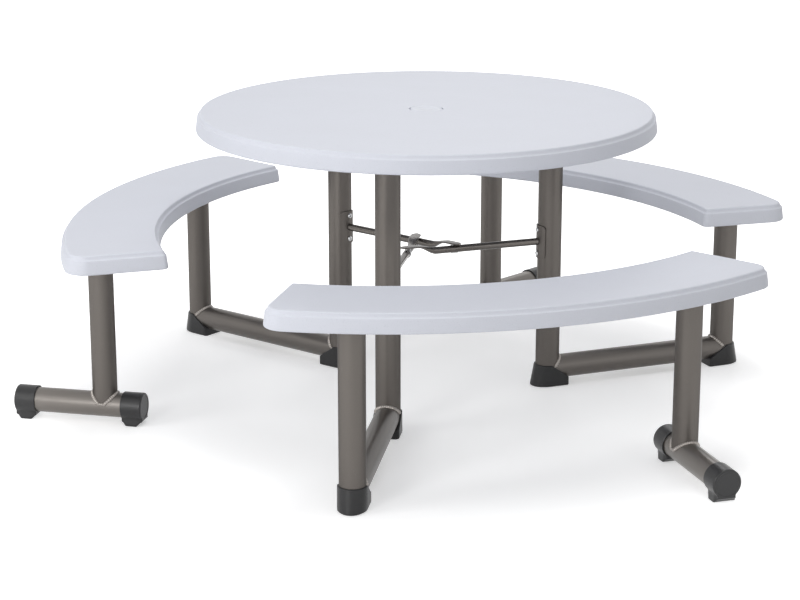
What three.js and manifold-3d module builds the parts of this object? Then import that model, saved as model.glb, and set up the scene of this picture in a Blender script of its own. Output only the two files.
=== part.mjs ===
// Round picnic table with three curved benches on steel tube frames.
// Millimetres, +Z up. The origin is the middle of the part's box, on the floor.
// Three like bench frames stand round the top. Each frame's table leg turns in a socket under the top,
// and the braces of the three frames hook on to each other round the middle.

import * as THREE from 'three';
import { mergeVertices } from 'three/addons/utils/BufferGeometryUtils.js';
import Module from 'manifold-3d';

const wasm = await Module();
wasm.setup();

// Gaps and roundness
const SEAT_GAP = 0.3;
const TURN_CLEARANCE = 0.4;
const MERGE_DISTANCE = 0.001;
const TUBE_SIDES = 20;
const TABLE_SIDES = 64;
const TRIM_SIDES = 12;

// Table top
const TABLE_DIAMETER = 1118;
const TABLE_HEIGHT = 725;
const TABLE_PANEL = 26;

// Moulded rim, the same on the top and the seats
const RIM_DEPTH = 47;
const RIM_WALL = 24;
const RIM_DRAFT = 3;
const SHOULDER_RADIUS = 4;
const BAND_SLOPE = 2;
const LEDGE_DROP = 13;
const LEDGE_WIDTH = 3;
const LEDGE_SLOPE = 1;
const SKIRT_FLARE = 5;
const LIP_RADIUS = 4;
const SHOULDER_STEPS = 3;
const LIP_STEPS = 2;

// Umbrella hole and its cap
const UMBRELLA_HOLE = 46;
const CAP_DIAMETER = 82;
const CAP_FLANGE = 3;
const CAP_EDGE = 1.2;
const CAP_STEM = 22;
const CAP_STEM_WALL = 3;

// Bench seats
const SEAT_HEIGHT = 460;
const SEAT_WIDTH = 236;
const SEAT_PANEL = 22;
const SEAT_INNER_RADIUS = 930;
const SEAT_LENGTH = 1134;
const SEAT_OUTER_CORNER = 50;
const SEAT_INNER_CORNER = 16;
const SEAT_LEAST_CORNER = 4;
const SEAT_ARC_STEPS = 14;
const SEAT_CORNER_STEPS = 4;

// Steel tube frames
const TUBE_DIAMETER = 60;
const TUBE_WALL = 1.8;
const FLOOR_TUBE_HEIGHT = 44;
const LEG_REACH = 319;
const FLOOR_TUBE_SPAN = 505;
const FRAME_ANGLE = THREE.MathUtils.degToRad(8.4);
const BENCH_ANGLE = THREE.MathUtils.degToRad(34.2);
const BENCH_LEG_OFFSET = 41;
const POST_OFFSET = 26;
const POST_RUN = 385;
const FRAME_NAMES = ['right', 'left', 'front'];
const FIRST_FRAME_ANGLE = THREE.MathUtils.degToRad(13.2);

// Leg sockets under the top and plates under the seats
const SOCKET_DIAMETER = 116;
const SOCKET_PLATE = 5;
const SOCKET_WALL = 5;
const SOCKET_DEPTH = 26;
const SEAT_PLATE_DIAMETER = 90;
const SEAT_PLATE_THICKNESS = 5;

// Corner boots and foot caps
const BOOT_WALL = 3.5;
const BOOT_FLOOR = 5;
const BOOT_HEIGHT = 56;
const BOOT_TOE = 48;
const BOOT_TOE_HEIGHT = 22;
const FOOT_LENGTH = 322;
const FOOT_OFFSET = 62;
const FOOT_CAP_LENGTH = 52;
const FOOT_CAP_WALL = 3.5;
const FOOT_CAP_END = 5;
const FOOT_PAD_WIDTH = 46;

// Braces, their brackets and hook clips
const BRACE_HEIGHT = 377;
const BRACE_DIAMETER = 18;
const BRACE_ANGLE = THREE.MathUtils.degToRad(6.5);
const BRACE_SIDES = 12;
const TONGUE_WIDTH = 26;
const TONGUE_THICKNESS = 4;
const TONGUE_RUN = 24;
const TONGUE_TIP = 16;
const TONGUE_RISE_LENGTH = 52;
const TONGUE_RISE_STEPS = 6;
const TONGUE_TIP_STEPS = 3;
const TONGUE_TIP_TAPER = 0.7;
const BRACKET_HEIGHT = 84;
const BRACKET_THICKNESS = 3;
const BRACKET_HALF_ANGLE = THREE.MathUtils.degToRad(48);
const BRACKET_STEPS = 10;
const SCREW_SPACING = 60;
const SCREW_HEAD_DIAMETER = 13;
const SCREW_HEAD_HEIGHT = 4;
const CLIP_THICKNESS = 2;
const CLIP_WIDTH = 18;
const CLIP_CLEARANCE = 0.5;
const CLIP_STEPS = 8;

// Worked-out places
const TABLE_RADIUS = TABLE_DIAMETER / 2;
const TUBE_RADIUS = TUBE_DIAMETER / 2;
const BRACE_RADIUS = BRACE_DIAMETER / 2;
const TABLE_UNDERSIDE = TABLE_HEIGHT - TABLE_PANEL;
const SEAT_UNDERSIDE = SEAT_HEIGHT - SEAT_PANEL;
const SEAT_OUTER_RADIUS = SEAT_INNER_RADIUS + SEAT_WIDTH;
const SEAT_MIDDLE_RADIUS = SEAT_INNER_RADIUS + SEAT_WIDTH / 2;
const SEAT_HALF_ANGLE = SEAT_LENGTH / 2 / SEAT_MIDDLE_RADIUS;
const SOCKET_TOP = TABLE_UNDERSIDE - SEAT_GAP;
const LEG_TOP = SOCKET_TOP - SOCKET_PLATE - SEAT_GAP;
const LEG_BOTTOM = BOOT_FLOOR + SEAT_GAP;
const SEAT_PLATE_TOP = SEAT_UNDERSIDE - SEAT_GAP;
const BENCH_LEG_TOP = SEAT_PLATE_TOP - SEAT_PLATE_THICKNESS - SEAT_GAP;
const BRACKET_INNER = TUBE_RADIUS + SEAT_GAP;
const BRACKET_OUTER = BRACKET_INNER + BRACKET_THICKNESS;
const CLIP_INNER = BRACE_RADIUS + CLIP_CLEARANCE;
const CLIP_OUTER = CLIP_INNER + CLIP_THICKNESS;
const TONGUE_RISE = CLIP_OUTER + SEAT_GAP + TONGUE_THICKNESS / 2;
const THIRD_TURN = (2 * Math.PI) / 3;

// Plan places in a frame's own axes, with its table leg on +X
const LEG_PLACE = new THREE.Vector2(LEG_REACH, 0);
const FRAME_DIRECTION = polar(1, FRAME_ANGLE);
const BENCH_LEG_PLACE = LEG_PLACE.clone().addScaledVector(FRAME_DIRECTION, FLOOR_TUBE_SPAN);
const BENCH_DIRECTION = polar(1, BENCH_ANGLE);
// The seat's arc is centred on the bench's own line, where the bench leg comes out a little beyond the
// middle of the seat's width. The outrigger post stands a run along the seat from its middle, and its foot
// reaches further out than in.
const BENCH_LEG_ALONG = BENCH_LEG_PLACE.dot(BENCH_DIRECTION);
const BENCH_LEG_ASIDE = BENCH_LEG_PLACE.cross(BENCH_DIRECTION);
const BENCH_LEG_RADIUS = SEAT_MIDDLE_RADIUS + BENCH_LEG_OFFSET;
const SEAT_ARC_CENTRE = BENCH_DIRECTION.clone().multiplyScalar(
  BENCH_LEG_ALONG - Math.sqrt(BENCH_LEG_RADIUS ** 2 - BENCH_LEG_ASIDE ** 2),
);
const POST_TURN = BENCH_ANGLE + POST_RUN / SEAT_MIDDLE_RADIUS;
const POST_PLACE = polar(SEAT_MIDDLE_RADIUS + POST_OFFSET, POST_TURN).add(SEAT_ARC_CENTRE);
const FOOT_PLACE = POST_PLACE.clone().addScaledVector(BENCH_DIRECTION, FOOT_OFFSET);
const BRACE_DIRECTION = polar(1, Math.PI + BRACE_ANGLE);
// The braces' lines touch a small circle round the middle, and cross each other a little past it.
const HUB_RADIUS = LEG_REACH * Math.sin(BRACE_ANGLE);
const BRACE_CROSSING = LEG_REACH * Math.cos(BRACE_ANGLE) + HUB_RADIUS * Math.tan(Math.PI / 3);

const COLOURS = {
  plastic: { color: 0xd8dbe4, roughness: 0.55, metalness: 0 },
  cap: { color: 0xcfd2da, roughness: 0.5, metalness: 0 },
  frame: { color: 0x69625c, roughness: 0.45, metalness: 0.35 },
  boot: { color: 0x2b2b2c, roughness: 0.6, metalness: 0 },
  zinc: { color: 0xb9bbbd, roughness: 0.3, metalness: 0.9 },
};

function polar(length, angle) {
  return new THREE.Vector2(length * Math.cos(angle), length * Math.sin(angle));
}

function sequence(count, from, to) {
  return Array.from({ length: count + 1 }, (_, i) => from + ((to - from) * i) / count);
}

// Turns the triangles round where a closed shape came out inside out.
function facingOut(geometry) {
  const merged = geometry.clone();
  for (const name of Object.keys(merged.attributes)) {
    if (name !== 'position') merged.deleteAttribute(name);
  }
  const shape = mergeVertices(merged, MERGE_DISTANCE);
  const place = shape.attributes.position;
  const corner = [new THREE.Vector3(), new THREE.Vector3(), new THREE.Vector3()];
  const kept = [];
  let volume = 0;
  for (let i = 0; i < shape.index.count; i += 3) {
    const ids = [0, 1, 2].map((k) => shape.index.getX(i + k));
    if (new Set(ids).size < 3) continue;
    corner.forEach((v, k) => v.fromBufferAttribute(place, ids[k]));
    volume += corner[0].dot(corner[1].clone().cross(corner[2]));
    kept.push(ids);
  }
  shape.setIndex(kept.flatMap((ids) => (volume < 0 ? [ids[0], ids[2], ids[1]] : ids)));
  return shape;
}

function solidOf(geometry) {
  const shape = facingOut(geometry);
  return new wasm.Manifold(
    new wasm.Mesh({
      numProp: 3,
      vertProperties: Float32Array.from(shape.attributes.position.array),
      triVerts: Uint32Array.from(shape.index.array),
    }),
  );
}

function geometryOf(solid) {
  const mesh = solid.getMesh();
  const geometry = new THREE.BufferGeometry();
  geometry.setAttribute('position', new THREE.BufferAttribute(Float32Array.from(mesh.vertProperties), 3));
  geometry.setIndex(Array.from(mesh.triVerts));
  return geometry;
}

// A round piece from a profile of [radius, height] points, turned about +Z.
function turned(profile, sides) {
  const points = profile.map(([r, z]) => new THREE.Vector2(r, z));
  return facingOut(new THREE.LatheGeometry(points, sides).rotateX(Math.PI / 2));
}

function rod(radius, low, high, sides = TUBE_SIDES) {
  return turned([[0, low], [radius, low], [radius, high], [0, high]], sides);
}

function pipe(outer, inner, low, high, sides = TUBE_SIDES) {
  return turned([[inner, low], [outer, low], [outer, high], [inner, high], [inner, low]], sides);
}

// Lays a shape that stands on +Z along a level direction, with its foot at a place.
function laidAlong(geometry, direction, place, height) {
  const turn = new THREE.Quaternion().setFromUnitVectors(
    new THREE.Vector3(0, 0, 1),
    new THREE.Vector3(direction.x, direction.y, 0),
  );
  return geometry.applyQuaternion(turn).translate(place.x, place.y, height);
}

function standing(geometry, place) {
  return geometry.translate(place.x, place.y, 0);
}

// Joins rings of equal point count into one closed skin, with a flat face over the first and last ring.
function lofted(rings, flatOutline) {
  const count = rings[0].length;
  const vertices = rings.flat().flatMap((v) => [v.x, v.y, v.z]);
  const triangles = [];
  for (let r = 0; r + 1 < rings.length; r += 1) {
    for (let i = 0; i < count; i += 1) {
      const a = r * count + i;
      const b = r * count + ((i + 1) % count);
      triangles.push(a, b, b + count, a, b + count, a + count);
    }
  }
  const last = (rings.length - 1) * count;
  const firstFace = THREE.ShapeUtils.triangulateShape(flatOutline(rings[0]), []);
  const lastFace = THREE.ShapeUtils.triangulateShape(flatOutline(rings[rings.length - 1]), []);
  firstFace.forEach(([a, b, c]) => triangles.push(a, c, b));
  lastFace.forEach(([a, b, c]) => triangles.push(last + a, last + b, last + c));
  const geometry = new THREE.BufferGeometry();
  geometry.setAttribute('position', new THREE.Float32BufferAttribute(vertices, 3));
  geometry.setIndex(triangles);
  return facingOut(geometry);
}

// The rim from the flat top, over the shoulder, down a sloping band to the ledge, down the skirt and back up
// inside it.
// Each point is [how far in from the widest edge, how far below the top].
function rimProfile(panel) {
  const wall = LEDGE_WIDTH + SKIRT_FLARE;
  const shoulder = sequence(SHOULDER_STEPS, 0, Math.PI / 2).map((t) => [
    wall + BAND_SLOPE + SHOULDER_RADIUS * (1 - Math.sin(t)),
    SHOULDER_RADIUS * (1 - Math.cos(t)),
  ]);
  const lip = sequence(LIP_STEPS, 0, Math.PI / 2).map((t) => [
    LIP_RADIUS * (1 - Math.cos(t)),
    RIM_DEPTH - LIP_RADIUS * (1 - Math.sin(t)),
  ]);
  return [
    ...shoulder,
    [wall, LEDGE_DROP],
    [SKIRT_FLARE, LEDGE_DROP + LEDGE_SLOPE],
    ...lip,
    [RIM_WALL, RIM_DEPTH],
    [RIM_WALL + RIM_DRAFT, panel],
  ];
}

function tableTop() {
  const hole = UMBRELLA_HOLE / 2;
  const recess = CAP_DIAMETER / 2 + SEAT_GAP;
  const recessFloor = TABLE_HEIGHT - CAP_FLANGE - SEAT_GAP;
  const rim = rimProfile(TABLE_PANEL).map(([inset, drop]) => [TABLE_RADIUS - inset, TABLE_HEIGHT - drop]);
  const profile = [
    [hole, TABLE_UNDERSIDE],
    [hole, recessFloor],
    [recess, recessFloor],
    [recess, TABLE_HEIGHT],
    ...rim,
    [hole, TABLE_UNDERSIDE],
  ];
  return turned(profile, TABLE_SIDES);
}

function umbrellaCap() {
  const top = TABLE_HEIGHT;
  const under = top - CAP_FLANGE;
  const edge = CAP_DIAMETER / 2;
  const stem = UMBRELLA_HOLE / 2 - TURN_CLEARANCE;
  const bore = stem - CAP_STEM_WALL;
  const profile = [
    [0, top],
    [edge - CAP_EDGE, top],
    [edge, top - CAP_EDGE],
    [edge, under],
    [stem, under],
    [stem, under - CAP_STEM],
    [bore, under - CAP_STEM],
    [bore, under],
    [0, under],
  ];
  return turned(profile, TUBE_SIDES);
}

function legSocket() {
  const bore = TUBE_RADIUS + TURN_CLEARANCE;
  const plateUnder = SOCKET_TOP - SOCKET_PLATE;
  const profile = [
    [0, SOCKET_TOP],
    [SOCKET_DIAMETER / 2, SOCKET_TOP],
    [SOCKET_DIAMETER / 2, plateUnder],
    [bore + SOCKET_WALL, plateUnder],
    [bore + SOCKET_WALL, plateUnder - SOCKET_DEPTH],
    [bore, plateUnder - SOCKET_DEPTH],
    [bore, plateUnder],
    [0, plateUnder],
  ];
  return standing(turned(profile, TUBE_SIDES), LEG_PLACE);
}

// A seat's plan outline, drawn in from its edge: two arcs about one centre, two straight ends that point
// at that centre, and four round corners, tighter on the inside. It always has the same number of points.
function seatOutline(inset) {
  const inner = SEAT_INNER_RADIUS + inset;
  const outer = SEAT_OUTER_RADIUS - inset;
  const outerRound = Math.max(SEAT_OUTER_CORNER - inset, SEAT_LEAST_CORNER);
  const innerRound = Math.max(SEAT_INNER_CORNER - inset, SEAT_LEAST_CORNER);
  const cornerAngle = (middle, round) => SEAT_HALF_ANGLE - Math.asin((round + inset) / middle);
  const corner = (middle, round, turn, from, to) => {
    const centre = polar(middle, turn);
    return sequence(SEAT_CORNER_STEPS, from, to).map((t) => polar(round, t).add(centre));
  };
  const arc = (radius, from, to) =>
    sequence(SEAT_ARC_STEPS, from, to).slice(1, -1).map((t) => polar(radius, t));
  const outerMiddle = outer - outerRound;
  const innerMiddle = inner + innerRound;
  const outerTurn = cornerAngle(outerMiddle, outerRound);
  const innerTurn = cornerAngle(innerMiddle, innerRound);
  const end = SEAT_HALF_ANGLE + Math.PI / 2;
  const points = [
    ...arc(outer, -outerTurn, outerTurn),
    ...corner(outerMiddle, outerRound, outerTurn, outerTurn, end),
    ...corner(innerMiddle, innerRound, innerTurn, end, innerTurn + Math.PI),
    ...arc(inner, innerTurn, -innerTurn),
    ...corner(innerMiddle, innerRound, -innerTurn, Math.PI - innerTurn, 2 * Math.PI - end),
    ...corner(outerMiddle, outerRound, -outerTurn, -end, -outerTurn),
  ];
  return points.map((v) => v.rotateAround(new THREE.Vector2(), BENCH_ANGLE).add(SEAT_ARC_CENTRE));
}

function benchSeat() {
  const rings = rimProfile(SEAT_PANEL).map(([inset, drop]) =>
    seatOutline(inset).map((v) => new THREE.Vector3(v.x, v.y, SEAT_HEIGHT - drop)),
  );
  return lofted(rings, (ring) => ring.map((v) => new THREE.Vector2(v.x, v.y)));
}

function upright(place, low, high) {
  return standing(pipe(TUBE_RADIUS, TUBE_RADIUS - TUBE_WALL, low, high), place);
}

function levelTube(place, direction, length) {
  const tube = pipe(TUBE_RADIUS, TUBE_RADIUS - TUBE_WALL, 0, length);
  return laidAlong(tube, direction, place, FLOOR_TUBE_HEIGHT);
}

// The floor tube is shaped at both ends to fit round the two legs that it joins.
function floorTube() {
  const tall = FLOOR_TUBE_HEIGHT + TUBE_DIAMETER;
  const fit = TUBE_RADIUS + SEAT_GAP;
  const legRoom = (place) => solidOf(standing(rod(fit, -TUBE_DIAMETER, tall), place));
  const tube = solidOf(levelTube(LEG_PLACE, FRAME_DIRECTION, FLOOR_TUBE_SPAN));
  return geometryOf(tube.subtract(legRoom(LEG_PLACE)).subtract(legRoom(BENCH_LEG_PLACE)));
}

// The outrigger post is shaped at its foot to sit on the level foot tube.
function outriggerPost() {
  const post = solidOf(upright(POST_PLACE, FLOOR_TUBE_HEIGHT, BENCH_LEG_TOP));
  const start = POST_PLACE.clone().addScaledVector(BENCH_DIRECTION, -TUBE_DIAMETER);
  const room = rod(TUBE_RADIUS + SEAT_GAP, 0, 2 * TUBE_DIAMETER);
  const cut = laidAlong(room, BENCH_DIRECTION, start, FLOOR_TUBE_HEIGHT);
  return geometryOf(post.subtract(solidOf(cut)));
}

function outriggerFoot() {
  const length = FOOT_LENGTH - 2 * (FOOT_CAP_END + SEAT_GAP);
  const start = FOOT_PLACE.clone().addScaledVector(BENCH_DIRECTION, -length / 2);
  return levelTube(start, BENCH_DIRECTION, length);
}

// A cup over one end of the foot tube, with a flat pad under it.
function footCap(side) {
  const along = BENCH_DIRECTION.clone().multiplyScalar(side);
  const start = FOOT_PLACE.clone().addScaledVector(along, FOOT_LENGTH / 2 - FOOT_CAP_LENGTH);
  const outer = TUBE_RADIUS + SEAT_GAP + FOOT_CAP_WALL;
  const bore = TUBE_RADIUS + SEAT_GAP;
  const cup = laidAlong(rod(outer, 0, FOOT_CAP_LENGTH), along, start, FLOOR_TUBE_HEIGHT);
  const hollow = laidAlong(
    rod(bore, -FOOT_CAP_LENGTH, FOOT_CAP_LENGTH - FOOT_CAP_END), along, start, FLOOR_TUBE_HEIGHT,
  );
  const pad = new THREE.BoxGeometry(FOOT_CAP_LENGTH, FOOT_PAD_WIDTH, FLOOR_TUBE_HEIGHT)
    .translate(FOOT_CAP_LENGTH / 2, 0, FLOOR_TUBE_HEIGHT / 2)
    .rotateZ(Math.atan2(along.y, along.x))
    .translate(start.x, start.y, 0);
  return geometryOf(solidOf(cup).add(solidOf(pad)).subtract(solidOf(hollow)));
}

// A boot round the corner of a leg and the floor tube: a cup over the leg's foot and a toe under the tube,
// cut off along a slope that falls towards the toe.
function cornerBoot(place, direction) {
  const outer = TUBE_RADIUS + SEAT_GAP + BOOT_WALL;
  const bore = TUBE_RADIUS + SEAT_GAP;
  const cup = standing(rod(outer, 0, BOOT_HEIGHT), place);
  const toe = new THREE.BoxGeometry(BOOT_TOE, 2 * outer, FLOOR_TUBE_HEIGHT)
    .translate(BOOT_TOE / 2, 0, FLOOR_TUBE_HEIGHT / 2);
  const sleeve = rod(outer, 0, BOOT_TOE).rotateY(Math.PI / 2).translate(0, 0, FLOOR_TUBE_HEIGHT);
  const heading = Math.atan2(direction.y, direction.x);
  const facing = (geometry) => standing(geometry.rotateZ(heading), place);
  const profile = new THREE.Shape([
    new THREE.Vector2(-outer - BOOT_WALL, BOOT_HEIGHT),
    new THREE.Vector2(-BOOT_WALL, BOOT_HEIGHT),
    new THREE.Vector2(BOOT_TOE, BOOT_TOE_HEIGHT),
    new THREE.Vector2(BOOT_TOE, 0),
    new THREE.Vector2(-outer - BOOT_WALL, 0),
  ]);
  const slope = new THREE.ExtrudeGeometry(profile, { depth: 4 * outer, bevelEnabled: false })
    .translate(0, 0, -2 * outer)
    .rotateX(Math.PI / 2);
  const legRoom = standing(rod(bore, BOOT_FLOOR, 2 * BOOT_HEIGHT), place);
  const tubeRoom = laidAlong(rod(bore, 0, 2 * BOOT_TOE), direction, place, FLOOR_TUBE_HEIGHT);
  const boot = solidOf(cup)
    .add(solidOf(facing(toe)))
    .add(solidOf(facing(sleeve)))
    .intersect(solidOf(facing(slope)));
  return geometryOf(boot.subtract(solidOf(legRoom)).subtract(solidOf(tubeRoom)));
}

function seatPlate(place) {
  const plate = rod(SEAT_PLATE_DIAMETER / 2, SEAT_PLATE_TOP - SEAT_PLATE_THICKNESS, SEAT_PLATE_TOP);
  return standing(plate, place);
}

// A curved plate that hugs the side of the table leg towards the middle.
function braceBracket() {
  const middle = Math.PI + BRACE_ANGLE;
  const angles = sequence(BRACKET_STEPS, middle - BRACKET_HALF_ANGLE, middle + BRACKET_HALF_ANGLE);
  const outside = angles.map((t) => polar(BRACKET_OUTER, t));
  const bore = BRACKET_INNER / Math.cos(BRACKET_HALF_ANGLE / BRACKET_STEPS);
  const inside = angles.map((t) => polar(bore, t)).reverse();
  const plate = new THREE.ExtrudeGeometry(new THREE.Shape([...outside, ...inside]), {
    depth: BRACKET_HEIGHT,
    bevelEnabled: false,
  });
  return standing(facingOut(plate.translate(0, 0, BRACE_HEIGHT - BRACKET_HEIGHT / 2)), LEG_PLACE);
}

function bracketScrew(side) {
  const height = BRACE_HEIGHT + (side * SCREW_SPACING) / 2;
  const head = rod(SCREW_HEAD_DIAMETER / 2, 0, BRACKET_OUTER + SCREW_HEAD_HEIGHT, TRIM_SIDES);
  const seat = standing(rod(BRACKET_OUTER + SEAT_GAP, 0, TABLE_HEIGHT, 2 * TUBE_SIDES), LEG_PLACE);
  return geometryOf(solidOf(laidAlong(head, BRACE_DIRECTION, LEG_PLACE, height)).subtract(solidOf(seat)));
}

// The brace is a round tube that rises and flattens into a tongue, which lies over the next frame's brace.
function brace() {
  const across = new THREE.Vector2(-BRACE_DIRECTION.y, BRACE_DIRECTION.x);
  const flatStart = BRACE_CROSSING - TONGUE_RUN;
  const roundEnd = flatStart - TONGUE_RISE_LENGTH;
  const section = (along, flat, narrow) => {
    const half = THREE.MathUtils.lerp(BRACE_RADIUS, TONGUE_WIDTH / 2, flat) * narrow;
    const thick = THREE.MathUtils.lerp(BRACE_RADIUS, TONGUE_THICKNESS / 2, flat);
    const centre = LEG_PLACE.clone().addScaledVector(BRACE_DIRECTION, along);
    return sequence(BRACE_SIDES, 0, 2 * Math.PI).slice(0, -1).map((t) => {
      const place = centre.clone().addScaledVector(across, half * Math.cos(t));
      return new THREE.Vector3(place.x, place.y, BRACE_HEIGHT + TONGUE_RISE * flat + thick * Math.sin(t));
    });
  };
  const rise = sequence(TONGUE_RISE_STEPS, 0, 1).map((u) =>
    section(roundEnd + TONGUE_RISE_LENGTH * u, THREE.MathUtils.smoothstep(u, 0, 1), 1),
  );
  const tip = sequence(TONGUE_TIP_STEPS, 0, 1).slice(1).map((u) =>
    section(BRACE_CROSSING + TONGUE_TIP * u, 1, Math.sqrt(1 - TONGUE_TIP_TAPER * u * u)),
  );
  const rings = [section(BRACKET_OUTER + SEAT_GAP, 0, 1), ...rise, section(BRACE_CROSSING, 1, 1), ...tip];
  const flatten = (ring) => ring.map((v) => new THREE.Vector2(across.dot(v), v.z));
  return lofted(rings, flatten);
}

// A half-round hook under the tongue. It grips the next frame's brace from the side that faces its own leg,
// and its mouth is open on the far side, so the brace leaves it freely.
function braceClip() {
  const neighbour = polar(1, Math.PI + BRACE_ANGLE - THIRD_TURN);
  const band = [
    ...sequence(CLIP_STEPS, -Math.PI / 2, Math.PI / 2).map((t) => polar(CLIP_OUTER, t)),
    ...sequence(CLIP_STEPS, Math.PI / 2, -Math.PI / 2).map((t) => polar(CLIP_INNER, t)),
  ];
  const hook = new THREE.ExtrudeGeometry(new THREE.Shape(band), { depth: CLIP_WIDTH, bevelEnabled: false })
    .translate(0, 0, -CLIP_WIDTH / 2)
    .rotateX(Math.PI / 2)
    .rotateZ(Math.atan2(neighbour.y, neighbour.x) - Math.PI / 2);
  const place = LEG_PLACE.clone().addScaledVector(BRACE_DIRECTION, BRACE_CROSSING);
  return facingOut(hook.translate(place.x, place.y, BRACE_HEIGHT));
}

function piece(parent, name, geometry, colour) {
  const mesh = new THREE.Mesh(geometry, new THREE.MeshStandardMaterial(COLOURS[colour]));
  mesh.name = name;
  parent.add(mesh);
}

function benchFrame(name) {
  const frame = new THREE.Group();
  const backwards = FRAME_DIRECTION.clone().negate();
  const add = (part, geometry, colour) => piece(frame, `${part}_${name}`, geometry, colour);
  add('leg_socket', legSocket(), 'boot');
  add('table_leg', upright(LEG_PLACE, LEG_BOTTOM, LEG_TOP), 'frame');
  add('floor_tube', floorTube(), 'frame');
  add('bench_leg', upright(BENCH_LEG_PLACE, LEG_BOTTOM, BENCH_LEG_TOP), 'frame');
  add('inner_boot', cornerBoot(LEG_PLACE, FRAME_DIRECTION), 'boot');
  add('outer_boot', cornerBoot(BENCH_LEG_PLACE, backwards), 'boot');
  add('outrigger_post', outriggerPost(), 'frame');
  add('outrigger_foot', outriggerFoot(), 'frame');
  add('foot_cap_inner', footCap(-1), 'boot');
  add('foot_cap_outer', footCap(1), 'boot');
  add('bench_seat', benchSeat(), 'plastic');
  add('bench_leg_plate', seatPlate(BENCH_LEG_PLACE), 'frame');
  add('outrigger_plate', seatPlate(POST_PLACE), 'frame');
  add('brace_bracket', braceBracket(), 'frame');
  add('bracket_screw_upper', bracketScrew(1), 'zinc');
  add('bracket_screw_lower', bracketScrew(-1), 'zinc');
  add('brace', brace(), 'frame');
  add('brace_clip', braceClip(), 'zinc');
  return frame;
}

const assembly = new THREE.Group();
piece(assembly, 'table_top', tableTop(), 'plastic');
piece(assembly, 'umbrella_cap', umbrellaCap(), 'cap');
FRAME_NAMES.forEach((name, k) => {
  const frame = benchFrame(name);
  frame.rotation.z = FIRST_FRAME_ANGLE + k * THIRD_TURN;
  assembly.add(frame);
});

// The origin goes to the middle of the part's box, on the floor.
assembly.updateMatrixWorld(true);
const box = new THREE.Box3().setFromObject(assembly, true);
const middle = box.getCenter(new THREE.Vector3());
assembly.position.set(-middle.x, -middle.y, -box.min.z);

const table = new THREE.Group();
table.add(assembly);

export default table;
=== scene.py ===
"""Round picnic table with three curved benches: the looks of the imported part, as one add-on script.

Lengths are metres, +Z is up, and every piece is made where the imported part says.
"""

import math

import bmesh
import bpy
import numpy as np
from bpy.props import FloatProperty, FloatVectorProperty, PointerProperty
from bpy.types import Operator, Panel, PropertyGroup
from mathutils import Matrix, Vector


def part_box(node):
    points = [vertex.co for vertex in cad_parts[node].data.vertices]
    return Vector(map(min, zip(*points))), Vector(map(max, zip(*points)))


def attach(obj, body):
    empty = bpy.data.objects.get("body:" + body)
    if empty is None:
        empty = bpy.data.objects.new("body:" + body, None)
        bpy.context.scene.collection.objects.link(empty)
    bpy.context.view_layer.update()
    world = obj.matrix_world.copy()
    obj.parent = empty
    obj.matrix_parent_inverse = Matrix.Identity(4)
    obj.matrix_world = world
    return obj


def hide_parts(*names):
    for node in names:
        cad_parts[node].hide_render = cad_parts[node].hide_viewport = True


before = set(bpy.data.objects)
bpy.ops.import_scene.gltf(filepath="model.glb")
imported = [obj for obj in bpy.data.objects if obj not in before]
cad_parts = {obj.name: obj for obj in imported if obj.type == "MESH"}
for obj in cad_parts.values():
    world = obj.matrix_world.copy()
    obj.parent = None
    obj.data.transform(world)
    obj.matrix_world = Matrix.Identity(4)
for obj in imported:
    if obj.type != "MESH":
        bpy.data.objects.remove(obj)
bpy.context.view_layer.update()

bl_info = {
    "name": "Round bench table",
    "version": (1, 0, 0),
    "blender": (4, 5, 0),
    "location": "View3D > Sidebar > Bench table",
    "description": "Builds the pieces, finishes and stage of a round table with three benches",
    "category": "Object",
}

SIDES = ("right", "left", "front")
TURN = 2 * math.pi
QUARTER = math.pi / 2

# Points closer than the first are joined into one, and faces thinner than the second are dropped
JOIN_WITHIN, SLIVER = 1e-6, 1e-7

# Clearances: round a tube inside a fitting, under a screw head, and at a tube's end before it is welded
TUBE_GAP = 0.0004
SCREW_GAP = 0.0001
WELD_GAP = 0.0003

# Rim of the mouldings. The ledge's edge is (inset, drop) from the top of the skirt and the ledge, and
# the wall behind the rim is (inset, drop) from the rim's inside and the panel's underside. Edges past the
# sharp angle, in degrees, stay sharp
MOULDING_SHARP = 50
RIM_STEPS = 12
SKIRT_STEPS = 6
LEDGE_CREASE = 0.0006
LEDGE_CREASE_SINK = 0.4
LEDGE_EDGE = ((0.0006, 0.0015), (0.0, 0.0022), (-0.0003, 0.0032))
RIM_INSIDE_EDGE = 0.002
RIM_TO_PANEL = ((0.003, 0.004), (0.0045, 0.001), (0.008, 0.0))

# Table top: the recess for the cap and the hole under it
TOP_TURNS = 360
TOP_STEPS = 14
TOP_UNDERSIDE_STEPS = 92
RECESS_GAP = 0.0005
RECESS_DEPTH = 0.0034
RECESS_EDGE = 0.0012
RECESS_EDGE_STEPS = 5
RECESS_BORDER = 0.004
HOLE_RADIUS = 0.023
HOLE_BORDER = 0.004
HOLE_EDGE = 0.002
HOLE_EDGE_MIDDLE = (0.001, 0.0003)

# Points along a seat's long sides, round its corners and across it, the tightest corner inside its rim,
# and the half width of the last strip in its middle
ARC_STEPS = 72
CORNER_STEPS = 9
SEAT_STEPS = 9
SEAT_UNDERSIDE_STEPS = 22
SEAT_LEAST_CORNER = 0.001
SEAT_MIDDLE = 0.0015

# Dimples: their radius as a share of the pitch, and the distances at which they fade away from the
# umbrella hole, the table's edge, a table leg, a seat's edge and a seat's legs
DIMPLE_RADIUS = 0.36
CLEAR_OF_HOLE = (0.07, 0.09)
CLEAR_OF_TABLE_EDGE = (0.06, 0.045)
CLEAR_OF_TABLE_LEG = (0.075, 0.095)
CLEAR_OF_SEAT_EDGE = (0.045, 0.033)
CLEAR_OF_SEAT_LEG = (0.055, 0.07)

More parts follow.
